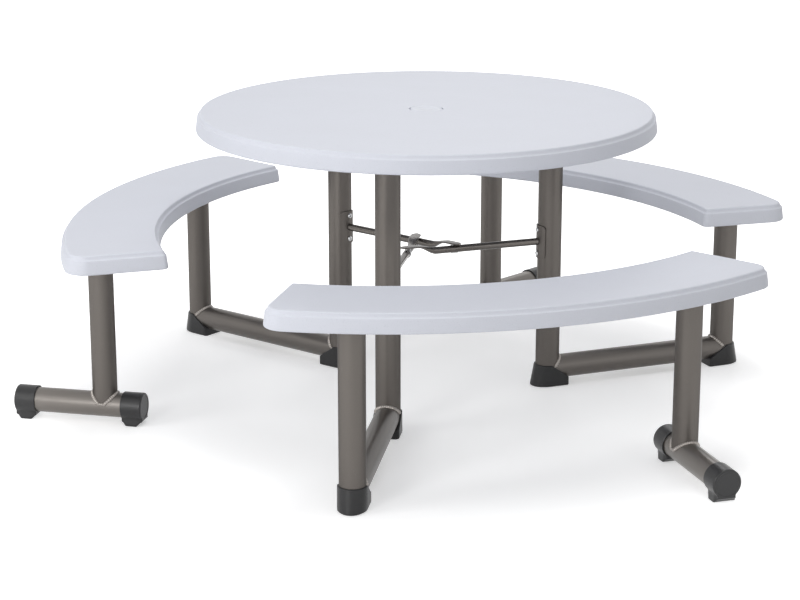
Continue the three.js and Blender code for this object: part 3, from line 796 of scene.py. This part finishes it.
def pipe(start, end):
    """A tube along x with walls, whose ends follow start and end, functions of the place across the
    tube."""
    s = sizes()
    t = round_angles(TUBE_TURNS)
    outside = (s.tube / 2, np.linspace(0, 1, TUBE_STEPS))
    inside = (s.tube / 2 - s.tube_wall, np.linspace(1, 0, TUBE_INSIDE_STEPS))
    rows = []
    for radius, stations in (outside, inside):
        y, z = radius * np.cos(t), radius * np.sin(t)
        rows.append(xyz(start(y) + (end(y) - start(y)) * stations[:, None], y, z))
    return np.concatenate(rows)


def saddle(y):
    """How far a tube's end stands off the middle of a like tube that it is fitted to, across that tube."""
    fit = sizes().tube / 2 + WELD_GAP
    return np.sqrt(np.maximum(fit**2 - y**2, 0))


def upright_tube(node_name, place):
    """A tube between the heights of its solid."""
    low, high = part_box(node_name)
    surface = pipe(lambda y: low.z + 0 * y, lambda y: high.z + 0 * y)
    return [closed(placed(surface[..., (1, 2, 0)], place))]


def floor_tube(bench):
    """A level tube with a saddle cut at each end, round the two legs."""
    reach = float(np.hypot(*(bench.bench_leg - bench.leg)))
    surface = pipe(saddle, lambda y: reach - saddle(y))
    return [closed(placed(surface, bench.leg, bench.along, sizes().tube_height))]


def outrigger_post(bench):
    """An upright tube with a saddle cut at its foot, on the level foot tube. The saddle's tips are cut
    level."""
    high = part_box(f"outrigger_post_{bench.side}")[1].z
    foot = sizes().tube_height
    surface = pipe(lambda y: foot + np.maximum(saddle(y), POST_TIP_RISE), lambda y: high + 0 * y)
    return [closed(placed(surface[..., ::-1], bench.post, bench.foot))]


def outrigger_foot(bench):
    """A level tube under the post, with square ends inside the foot caps."""
    reach = sizes().foot_length / 2 - FOOT_TUBE_INSET
    surface = pipe(lambda y: -reach + 0 * y, lambda y: reach + 0 * y)
    return [closed(placed(surface, bench.foot_middle, bench.foot, sizes().tube_height))]


def swept(path, size):
    """A round bead carried along a closed path of points, with its own radius at each point."""
    step = np.roll(path, -1, axis=0) - np.roll(path, 1, axis=0)
    tangent = step / np.linalg.norm(step, axis=1, keepdims=True)
    outward = path - path.mean(axis=0)
    side = np.cross(tangent, outward)
    side /= np.linalg.norm(side, axis=1, keepdims=True)
    across = np.cross(side, tangent)
    t = round_angles(WELD_TURNS)
    ring = np.cos(t)[None, :, None] * across[:, None, :] + np.sin(t)[None, :, None] * side[:, None, :]
    return path[:, None, :] + ring * size[:, None, None]


def welds(bench):
    """Beads at both ends of the floor tube and round the foot of the post, along the line where two
    like tubes meet at a right angle. The radius swells and shrinks along a bead, as the laps of a weld
    do. A bead thins out inside a boot, and where the post's sides meet the foot's."""
    s = sizes()
    r, height = s.tube / 2, s.tube_height
    t = round_angles(WELD_STEPS)
    path = xyz(np.sqrt((r * np.sin(t)) ** 2 + WELD_LEAST_RISE**2), r * np.cos(t), r * np.sin(t))
    raised = xyz(path[:, 2], path[:, 1], np.maximum(path[:, 0], POST_TIP_RISE))
    full = s.weld * (WELD_LOW + WELD_SWELL * np.abs(np.sin(WELD_LAPS * t)))
    above_boot = full * (WELD_IN_BOOT + (1 - WELD_IN_BOOT) * fade(np.sin(t), *WELD_ABOVE_BOOT))
    both_sides = full * (WELD_AT_SIDES + (1 - WELD_AT_SIDES) * fade(np.abs(np.sin(t)), *WELD_OFF_SIDES))
    beads = (
        (placed(path, bench.leg, bench.along, height), above_boot),
        (placed(path, bench.bench_leg, -bench.along, height), above_boot),
        (placed(raised, bench.post, bench.foot, height), both_sides),
    )
    return [closed(swept(line, size)) for line, size in beads]


# Boots and foot caps


def corner_boot(place, heading):
    """A boot round a leg's foot and the start of the floor tube, as upright sections from heel to toe.

    The heel's sections run round half an ellipse about the leg, which spreads towards the floor. In
    front of the leg, the half width at a height is the widest of the leg's cup, the sleeve round the
    floor tube and the toe pad. The top follows a slope that falls towards the toe, and the edges at the
    floor and the top are round.
    """
    s = sizes()
    cup = s.tube / 2 + s.boot_wall
    turn = np.linspace(0, QUARTER, BOOT_HEEL_STEPS)
    ahead = s.toe * (0.5 - 0.5 * np.cos(np.linspace(0, math.pi, BOOT_TOE_STEPS)))[1:]
    lean = np.concatenate((np.cos(turn), 0 * ahead))[:, None]
    side = np.concatenate((np.sin(turn), 0 * ahead))[:, None]
    ahead = np.concatenate((0 * turn, ahead))[:, None]
    ceiling = s.boot_height - ahead * ((s.boot_height - s.toe_height) / s.toe)
    z = ceiling * np.sin(np.linspace(0, QUARTER, BOOT_SIDE_STEPS))[None, :]
    floor_edge = np.clip(1 - z / BOOT_FLOOR_EDGE, 0, 1)
    top_edge = np.clip(1 - (ceiling - z) / BOOT_TOP_EDGE, 0, 1)
    trim = BOOT_FLOOR_EDGE * (1 - np.sqrt(1 - floor_edge**2))
    trim = trim + BOOT_TOP_EDGE * (1 - np.sqrt(1 - top_edge**2))
    flare = s.heel_flare * (1 - z / s.boot_height)
    leg = np.sqrt(np.maximum(cup**2 - ahead**2, 0))
    sleeve = np.sqrt(np.maximum(cup**2 - (z - s.tube_height) ** 2, 0))
    pad = np.where(z < s.tube_height, cup, 0)
    nose = np.clip((ahead - s.toe + BOOT_NOSE) / BOOT_NOSE, 0, 1)
    toe_width = np.maximum(np.maximum(leg, sleeve), pad) - BOOT_NOSE * (1 - np.sqrt(1 - nose**2))
    x = ahead - (cup + flare - trim) * lean
    width = np.where(ahead > 0, toe_width - trim, (cup - trim) * side)
    x, z = np.concatenate((x, x[-1:])), np.concatenate((z, z[-1:]))
    width = np.concatenate((np.maximum(width, 0), 0 * width[-1:]))
    across = np.linspace(-1, 1, BOOT_ROOF_STEPS)[None, 1:-1]
    right = xyz(x, width, z)
    roof = xyz(x[:, -1:], -width[:, -1:] * across, z[:, -1:])
    left = xyz(x, -width, z)[:, ::-1]
    base = xyz(x[:, :1], width[:, :1] * across, z[:, :1])
    loop = np.concatenate((right, roof, left, base), axis=1)
    return [shell(placed(loop, place, heading))]


def foot_cap(bench, side):
    """A cup over one end of the foot tube with a pad under it: a keyhole outline carried along the
    tube.

    Seen along the tube, the distance from its middle is the larger of the cup's radius and the pad's
    edge. The pad is deepest along its middle and rises at both ends. The outline draws in round the
    closed end, where a flat disc is left, and the mouth turns in to the tube.
    """
    s = sizes()
    cup = s.tube / 2 + s.boot_wall
    end = s.foot_length / 2
    mouth = end - CAP_LENGTH
    w = np.linspace(0, QUARTER, CAP_BEND_STEPS)[1:]
    # Stations along the wall, closer together where the pad rises
    wall = np.concatenate(
        (
            (mouth + CAP_MOUTH,),
            np.linspace(mouth + CAP_MOUTH_DEPTH, mouth + 0.014, 4),
            np.linspace(mouth + 0.018, end - 0.016, 5),
            np.linspace(end - 0.013, end - CAP_BEND, 4),
        )
    )
    disc_edge, disc_foot = CAP_DISC_EDGE
    profile = np.concatenate(
        (
            ((mouth + CAP_MOUTH_DEPTH, 1.0), (mouth + TUBE_GAP, 1.0), (mouth, CAP_MOUTH)),
            np.stack((wall, 0 * wall), axis=-1),
            np.stack((end - CAP_BEND + CAP_BEND * np.sin(w), CAP_BEND * (1 - np.cos(w))), axis=-1),
            ((end, disc_edge), (end - CAP_DISC_SINK, disc_foot), (end - CAP_DISC_SINK, CAP_DISC_INSET)),
        )
    )
    station, drawn = profile[:, :1], profile[:, 1:]
    t = round_angles(CAP_TURNS)[None, :]
    down = np.maximum(-np.sin(t), 1e-6)
    before_end = 1 - fade(station, *(end - np.array(PAD_RISE_AT_END)))
    deep = fade(station, mouth, mouth + PAD_RISE_AT_MOUTH) * before_end
    depth = cup + PAD_LEAST + (s.tube_height - cup - PAD_LEAST) * deep
    half_width = PAD_HALF_WIDTH - PAD_NARROWING * (1 - deep)
    flank = half_width / np.maximum(np.abs(np.cos(t)) - PAD_DRAFT * down, 1e-6)
    pad = np.where(np.sin(t) < 0, np.minimum(depth / down, flank), 0)
    blend = np.logaddexp(cup / PAD_BLEND, pad / PAD_BLEND) * PAD_BLEND
    outline = np.minimum(blend, np.maximum(depth / down, cup))
    past_mouth = station > mouth + CAP_MOUTH_DEPTH + 0.001
    least = np.where(past_mouth, CAP_LEAST_RADIUS, s.tube / 2 + TUBE_GAP)
    radius = np.maximum(np.where(past_mouth & (drawn > CAP_BEND), cup, outline) - drawn, least)
    surface = xyz(station, radius * np.cos(t), radius * np.sin(t))
    surface[..., 2] = np.maximum(surface[..., 2], -s.tube_height)
    return [capped(placed(surface, bench.foot_middle, side * bench.foot, s.tube_height))]


# Braces, brackets and fixings


def brace(bench):
    """A round bar that rises and flattens into a tongue: an ellipse whose two half widths and height
    change along the bar, with a rounded tip."""
    s = sizes()
    start = s.tube / 2 + s.bracket_wall + BRACE_GAP
    crossing = bench.crossing()
    rise = s.brace / 2 + CLIP_GAP + CLIP_WALL + TONGUE_GAP + s.tongue / 2
    flat_start = crossing - TONGUE_START
    x = np.concatenate(
        (
            np.linspace(start, flat_start - TONGUE_RISE, BAR_STEPS)[:-1],
            np.linspace(flat_start - TONGUE_RISE, flat_start, RISE_STEPS),
            np.linspace(flat_start, crossing, FLAT_STEPS)[1:],
            crossing + TONGUE_TIP * np.sin(np.linspace(0, QUARTER, TIP_STEPS))[1:],
        )
    )[:, None]
    flat = fade(x, flat_start - TONGUE_RISE, flat_start)
    end = np.clip((x - crossing) / TONGUE_TIP, 0, 1)
    tip = np.sqrt(np.maximum(1 - TONGUE_TIP_DRAW * end**2, TONGUE_TIP_LEAST))
    half = (s.brace / 2 + (s.tongue_width / 2 - s.brace / 2) * flat) * tip
    thick = s.brace / 2 + (s.tongue / 2 - s.brace / 2) * flat
    t = round_angles(BRACE_TURNS)[None, :]
    up = thick * np.sign(np.sin(t)) * np.abs(np.sin(t)) ** (1 - TONGUE_SQUARENESS * flat)
    surface = xyz(x, half * np.cos(t), up + rise * flat)
    return [capped(placed(surface, bench.leg, bench.inward, bench.brace_height))]


def brace_clip(bench):
    """A half-round band under the tongue, carried round the next frame's brace."""
    t = np.linspace(-QUARTER, QUARTER, CLIP_STEPS)[:, None]
    section = np.array(CLIP_SECTION)[None]
    r = sizes().brace / 2 + CLIP_GAP + section[..., 0]
    surface = xyz(section[..., 1], -r * np.cos(t), r * np.sin(t))
    heading = turned(bench.inward, -TURN / 3)
    place = bench.leg + bench.inward * bench.crossing()
    return [capped(placed(surface, place, heading, bench.brace_height))]


def brace_bracket(bench):
    """A plate bent round the leg: two arcs joined into a loop at each height, drawn in at the corners."""
    s = sizes()
    low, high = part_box(f"brace_bracket_{bench.side}")
    half_height = (high.z - low.z) / 2
    inner = s.tube / 2 + TUBE_GAP
    rise = half_height * np.sin(np.linspace(-QUARTER, QUARTER, BRACKET_STEPS))[:, None]
    over = np.clip((np.abs(rise) - (half_height - BRACKET_CORNER)) / BRACKET_CORNER, 0, 1)
    drawn = BRACKET_CORNER * (1 - np.sqrt(np.maximum(1 - over**2, 0)))
    half = s.bracket_angle - drawn / inner
    a = np.linspace(-1, 1, BRACKET_TURNS)[None, :]
    r = np.repeat((inner + s.bracket_wall, inner), BRACKET_TURNS)[None, :]
    t = np.concatenate((half * a, half * a[:, ::-1]), axis=1)
    surface = xyz(r * np.cos(t), r * np.sin(t), rise)
    return [capped(placed(surface, bench.leg, bench.inward, (low.z + high.z) / 2))]


def screw_head(radius, height, turns=SCREW_TURNS):
    """A domed head along x with a six-sided recess: rings from the rim over the dome to the recess's
    edge, down its walls and in to the middle."""
    t = round_angles(turns)
    sector = np.mod(t, TURN / 6) - TURN / 12
    hexagon = SCREW_RECESS * radius / np.cos(sector)
    r_dome = radius - (radius - hexagon) * np.linspace(0, 1, SCREW_DOME_STEPS)[:, None] ** SCREW_DOME_SPACING
    x_dome = height * (SCREW_DOME + (1 - SCREW_DOME) * np.sqrt(np.maximum(1 - (r_dome / radius) ** 2, 0)))
    floor = SCREW_RECESS_FLOOR * height
    foot, rim, recess, tip = (
        np.broadcast_to(row, (1, turns)) for row in (SCREW_FOOT * radius, radius, hexagon, 0.0)
    )
    r = np.concatenate((foot, rim, r_dome, recess, tip))
    x = np.concatenate([np.broadcast_to(row, (len(np.atleast_2d(row)), turns))
                        for row in (0.0, SCREW_RIM * height, x_dome, floor, floor * SCREW_RECESS_CONE)])
    return xyz(x, r * np.cos(t), r * np.sin(t))


def bracket_screw(bench, which):
    """One screw head on the bracket, pointing at the table's middle."""
    s = sizes()
    z = middle(f"bracket_screw_{which}_{bench.side}")[2]
    head = screw_head(s.screw / 2, SCREW_HEIGHT)
    head[..., 0] += s.tube / 2 + s.bracket_wall + SCREW_GAP
    return [capped(placed(head, bench.leg, bench.inward, z))]


def screws_below(place, reach, z, count=4):
    """Screw heads in a ring, pointing at the floor."""
    head = screw_head(SMALL_SCREW_RADIUS, SMALL_SCREW_HEIGHT, SMALL_SCREW_TURNS)
    head = xyz(head[..., 2], head[..., 1], -head[..., 0])
    turns = TURN / 8 + round_angles(count)
    spots = place + reach * np.stack((np.cos(turns), np.sin(turns)), axis=-1)
    return [capped(placed(head, spot, lift=z)) for spot in spots]


def leg_socket(bench):
    """A lathe surface: a round flange with soft edges and a collar with a lead-in chamfer."""
    radius, low, high = round_solid(f"leg_socket_{bench.side}")
    bore = sizes().tube / 2 + TUBE_GAP
    profile = (
        (0, high),
        (radius, high),
        (radius, high - 0.003),
        (radius - 0.0015, high - SOCKET_FLANGE),
        (bore + 0.009, high - 0.0052),
        (bore + 0.0056, high - 0.0085),
        (bore + 0.005, low + 0.0015),
        (bore + 0.0038, low),
        (bore + 0.001, low),
        (bore, low + 0.001),
        (bore, high - SOCKET_FLANGE),
        (0, high - SOCKET_FLANGE),
    )
    return [shell(lathe(profile, SOCKET_TURNS, bench.leg))]


def seat_plate(node_name, place):
    """A lathe surface: a round plate with a rolled edge and a weld fillet round the tube."""
    radius, low, high = round_solid(node_name)
    tube = sizes().tube / 2
    profile = (
        (0, high),
        (radius - 0.001, high),
        (radius, high - 0.001),
        (radius, low + 0.0015),
        (radius - 0.0015, low),
        (tube + 0.004, low),
        (tube + 0.0018, low - 0.0012),
        (tube + 0.0002, low - 0.0040),
        (tube - 0.0010, low - 0.0040),
        (tube - 0.0010, low),
        (0, low),
    )
    return [shell(lathe(profile, PLATE_TURNS, place))]


# Stage


def seen_rays(tree):
    """1 for what the camera sees, also by reflection or through glass, and 0 for rays that only carry
    light."""
    rays = node(tree, "ShaderNodeLightPath", -900, -200)
    total = rays.outputs["Is Camera Ray"]
    for kind, x in (("Is Glossy Ray", -700), ("Is Transmission Ray", -500)):
        either = node(tree, "ShaderNodeMath", x, -200)
        either.operation = "MAXIMUM"
        tree.links.new(total, either.inputs[0])
        tree.links.new(rays.outputs[kind], either.inputs[1])
        total = either.outputs[0]
    return total


def make_floor(axis):
    """A wide pale floor. To the camera it also glows a little, so that it reads as white away from shadows,
    and it glows less round the table's middle, a painted shadow under the table."""
    edge = np.linspace(-FLOOR_HALF, FLOOR_HALF, FLOOR_CELLS)
    points = placed(xyz(edge[:, None], edge[None, :], -FLOOR_SINK), axis)
    mesh = bpy.data.meshes.new("floor")
    faces = grid_faces(FLOOR_CELLS, FLOOR_CELLS, False, False)
    mesh.from_pydata(points.reshape(-1, 3).tolist(), [], faces.tolist())
    floor = bpy.data.objects.new("floor", mesh)
    bpy.context.scene.collection.objects.link(floor)
    paint = bpy.data.materials.new("Pale floor")
    paint.use_nodes = True
    tree = paint.node_tree
    shader = tree.nodes["Principled BSDF"]
    shader.inputs["Base Color"].default_value = (FLOOR_GREY, FLOOR_GREY, FLOOR_GREY, 1)
    shader.inputs["Roughness"].default_value = 0.9
    shader.inputs["Specular IOR Level"].default_value = 0.1
    shader.inputs["Emission Color"].default_value = (1, 1, 1, 1)
    seen = seen_rays(tree)
    place = node(tree, "ShaderNodeTexCoord", -1100, -450)
    flat = node(tree, "ShaderNodeVectorMath", -900, -450)
    flat.operation = "DISTANCE"
    flat.inputs[1].default_value = (axis[0], axis[1], 0)
    reach = node(tree, "ShaderNodeMapRange", -700, -450, From_Max=FLOOR_WHITE_FROM)
    level = node(tree, "ShaderNodeValToRGB", -450, -450)
    level.color_ramp.interpolation = "EASE"
    stops = level.color_ramp.elements
    # The ramp's dip near the middle paints the table's shadow on the floor
    for count, (distance, shaded_glow_level) in enumerate(FLOOR_GLOW_AND_SHADE):
        stop = stops[count] if count < len(stops) else stops.new(1.0)
        stop.position = distance / FLOOR_WHITE_FROM
        stop.color = (shaded_glow_level, shaded_glow_level, shaded_glow_level, 1)
    glow = node(tree, "ShaderNodeMath", -120, -200)
    glow.operation = "MULTIPLY"
    tree.links.new(place.outputs["Object"], flat.inputs[0])
    tree.links.new(flat.outputs["Value"], reach.inputs["Value"])
    tree.links.new(reach.outputs["Result"], level.inputs["Fac"])
    tree.links.new(level.outputs["Color"], glow.inputs[1])
    tree.links.new(seen, glow.inputs[0])
    tree.links.new(glow.outputs[0], shader.inputs["Emission Strength"])
    mesh.materials.append(paint)


def make_world(scene):
    """White to the camera and in reflections, and a soft even light on the object."""
    world = bpy.data.worlds.new("Studio")
    world.use_nodes = True
    tree = world.node_tree
    back = tree.nodes["Background"]
    level = node(tree, "ShaderNodeMapRange", -300, 0, To_Min=WORLD_LEVEL, To_Max=1.0)
    tree.links.new(seen_rays(tree), level.inputs["Value"])
    tree.links.new(level.outputs["Result"], back.inputs["Strength"])
    back.inputs["Color"].default_value = (1, 1, 1, 1)
    scene.world = world


def make_lamp(axis, name, offset, width, height, power):
    """A soft light with an even face that looks at the middle of the object."""
    data = bpy.data.lights.new(name, "AREA")
    data.shape = "RECTANGLE"
    data.size = width
    data.size_y = height
    data.energy = power
    lamp = bpy.data.objects.new(name, data)
    place = Vector((axis[0] + offset[0], axis[1] + offset[1], offset[2]))
    aim = Vector((axis[0], axis[1], LAMP_AIM_HEIGHT)) - place
    lamp.location = place
    lamp.rotation_euler = aim.to_track_quat("-Z", "Y").to_euler()
    bpy.context.scene.collection.objects.link(lamp)


def make_camera(scene, axis):
    """The photograph's view: a long lens in front of the table, looking a little down."""
    data = bpy.data.cameras.new("Camera")
    data.sensor_width = CAMERA_SENSOR
    data.lens = CAMERA_LENS
    camera = bpy.data.objects.new("Camera", data)
    camera.location = (axis[0] + CAMERA_PLACE[0], axis[1] + CAMERA_PLACE[1], CAMERA_PLACE[2])
    camera.rotation_euler = (math.radians(90 - CAMERA_DOWN), 0, 0)
    scene.collection.objects.link(camera)
    scene.camera = camera


# Operators


class BENCHTABLE_OT_stage(Operator):
    """Make the pale floor, the soft lights and the camera"""

    bl_idname = "bench_table.stage"
    bl_label = "Stage"

    def execute(self, context):
        scene = context.scene
        scene.view_settings.view_transform = "Standard"
        axis = middle("table_top")[:2]
        make_floor(axis)
        make_world(scene)
        for lamp in LAMPS:
            make_lamp(axis, *lamp)
        make_camera(scene, axis)
        return {"FINISHED"}


class BENCHTABLE_OT_top(Operator):
    """Make the moulded table top and the cap of its umbrella hole"""

    bl_idname = "bench_table.top"
    bl_label = "Table top and cap"

    def execute(self, context):
        piece("moulded_top", table_top(), "moulding", "table", ["table_top"],
              sharp=MOULDING_SHARP)
        piece("hole_cap", umbrella_cap(), "hole cap", "cap", ["umbrella_cap"])
        return {"FINISHED"}


class BENCHTABLE_OT_seats(Operator):
    """Make the three curved bench seats"""

    bl_idname = "bench_table.seats"
    bl_label = "Bench seats"

    def execute(self, context):
        for bench in bench_frames():
            name = f"seat_{bench.side}"
            piece(f"moulded_{name}", bench_seat(bench), "moulding", bench.body,
                  [f"bench_{name}"], sharp=MOULDING_SHARP)
        return {"FINISHED"}


class BENCHTABLE_OT_tubes(Operator):
    """Make the frame tubes and the weld beads between them"""

    bl_idname = "bench_table.tubes"
    bl_label = "Frame tubes and welds"

    def execute(self, context):
        for bench in bench_frames():
            side = bench.side
            shapes = {
                "table_leg": (upright_tube(f"table_leg_{side}", bench.leg), "upright coat, painted dark edges"),
                "bench_leg": (upright_tube(f"bench_leg_{side}", bench.bench_leg), "upright coat, painted dark edges"),
                "floor_tube": (floor_tube(bench), "level coat"),
                "outrigger_post": (outrigger_post(bench), "upright coat, painted dark edges"),
                "outrigger_foot": (outrigger_foot(bench), "foot coat, painted sheen"),
            }
            for name, (grids, coat) in shapes.items():
                piece(f"coated_{name}_{side}", grids, coat, bench.body, [f"{name}_{side}"])
            piece(f"weld_beads_{side}", welds(bench), "weld", bench.body)
        return {"FINISHED"}


class BENCHTABLE_OT_boots(Operator):
    """Make the corner boots and the foot caps"""

    bl_idname = "bench_table.boots"
    bl_label = "Boots and foot caps"

    def execute(self, context):
        for bench in bench_frames():
            shapes = {
                "inner_boot": (corner_boot(bench.leg, bench.along), "boot"),
                "outer_boot": (corner_boot(bench.bench_leg, -bench.along), "boot"),
                "foot_cap_inner": (foot_cap(bench, -1), "foot cap"),
                "foot_cap_outer": (foot_cap(bench, 1), "foot cap"),
            }
            for name, (grids, look) in shapes.items():
                node_name = f"{name}_{bench.side}"
                piece(f"moulded_{node_name}", grids, look, bench.body, [node_name])
        return {"FINISHED"}


class BENCHTABLE_OT_braces(Operator):
    """Make the braces, their brackets, screws and hook clips"""

    bl_idname = "bench_table.braces"
    bl_label = "Braces and brackets"

    def execute(self, context):
        for bench in bench_frames():
            side, body = bench.side, bench.body
            piece(f"flattened_brace_{side}", brace(bench), "brace highlight coat", body, [f"brace_{side}"])
            piece(f"bent_bracket_{side}", brace_bracket(bench), "upright coat, painted dark edges", body,
                  [f"brace_bracket_{side}"], bevel=BRACKET_BEVEL)
            piece(f"hook_clip_{side}", brace_clip(bench), "zinc", body, [f"brace_clip_{side}"])
            for which in ("upper", "lower"):
                name = f"screw_{which}_{side}"
                piece(f"domed_{name}", bracket_screw(bench, which), "zinc", body,
                      [f"bracket_{name}"])
        return {"FINISHED"}


class BENCHTABLE_OT_fixings(Operator):
    """Make the leg sockets, the seat plates and their screws"""

    bl_idname = "bench_table.fixings"
    bl_label = "Sockets, plates and screws"

    def execute(self, context):
        for bench in bench_frames():
            side, body = bench.side, bench.body
            socket = f"leg_socket_{side}"
            piece(f"flanged_socket_{side}", leg_socket(bench), "boot", "table", [socket])
            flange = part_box(socket)[1].z - SOCKET_FLANGE
            screws = screws_below(bench.leg, SOCKET_SCREW_CIRCLE, flange - SCREW_GAP)
            piece(f"socket_screws_{side}", screws, "zinc", "table")
            for name, place in (("bench_leg_plate", bench.bench_leg), ("outrigger_plate", bench.post)):
                plate = f"{name}_{side}"
                piece(f"welded_{plate}", seat_plate(plate, place), "upright coat, painted dark edges", body, [plate])
                screws = screws_below(place, PLATE_SCREW_CIRCLE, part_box(plate)[0].z - SCREW_GAP)
                piece(f"screws_{plate}", screws, "zinc", body)
        return {"FINISHED"}


OPERATORS = (
    BENCHTABLE_OT_stage,
    BENCHTABLE_OT_top,
    BENCHTABLE_OT_seats,
    BENCHTABLE_OT_tubes,
    BENCHTABLE_OT_boots,
    BENCHTABLE_OT_braces,
    BENCHTABLE_OT_fixings,
)


class BENCHTABLE_PT_panel(Panel):
    """Lists the operators that make the table"""

    bl_idname = "BENCHTABLE_PT_panel"
    bl_label = "Round bench table"
    bl_space_type = "VIEW_3D"
    bl_region_type = "UI"
    bl_category = "Bench table"

    def draw(self, context):
        for operator in OPERATORS:
            self.layout.operator(operator.bl_idname)


CLASSES = (BENCHTABLE_PG_sizes, BENCHTABLE_PG_finish, *OPERATORS, BENCHTABLE_PT_panel)


def register():
    for each in CLASSES:
        bpy.utils.register_class(each)
    bpy.types.Scene.bench_table_sizes = PointerProperty(type=BENCHTABLE_PG_sizes)
    bpy.types.Scene.bench_table_finish = PointerProperty(type=BENCHTABLE_PG_finish)


def unregister():
    del bpy.types.Scene.bench_table_finish
    del bpy.types.Scene.bench_table_sizes
    for each in reversed(CLASSES):
        bpy.utils.unregister_class(each)


def main():
    register()
    for operator in OPERATORS:
        group, name = operator.bl_idname.split(".")
        getattr(getattr(bpy.ops, group), name)()


if __name__ == "__main__":
    main()
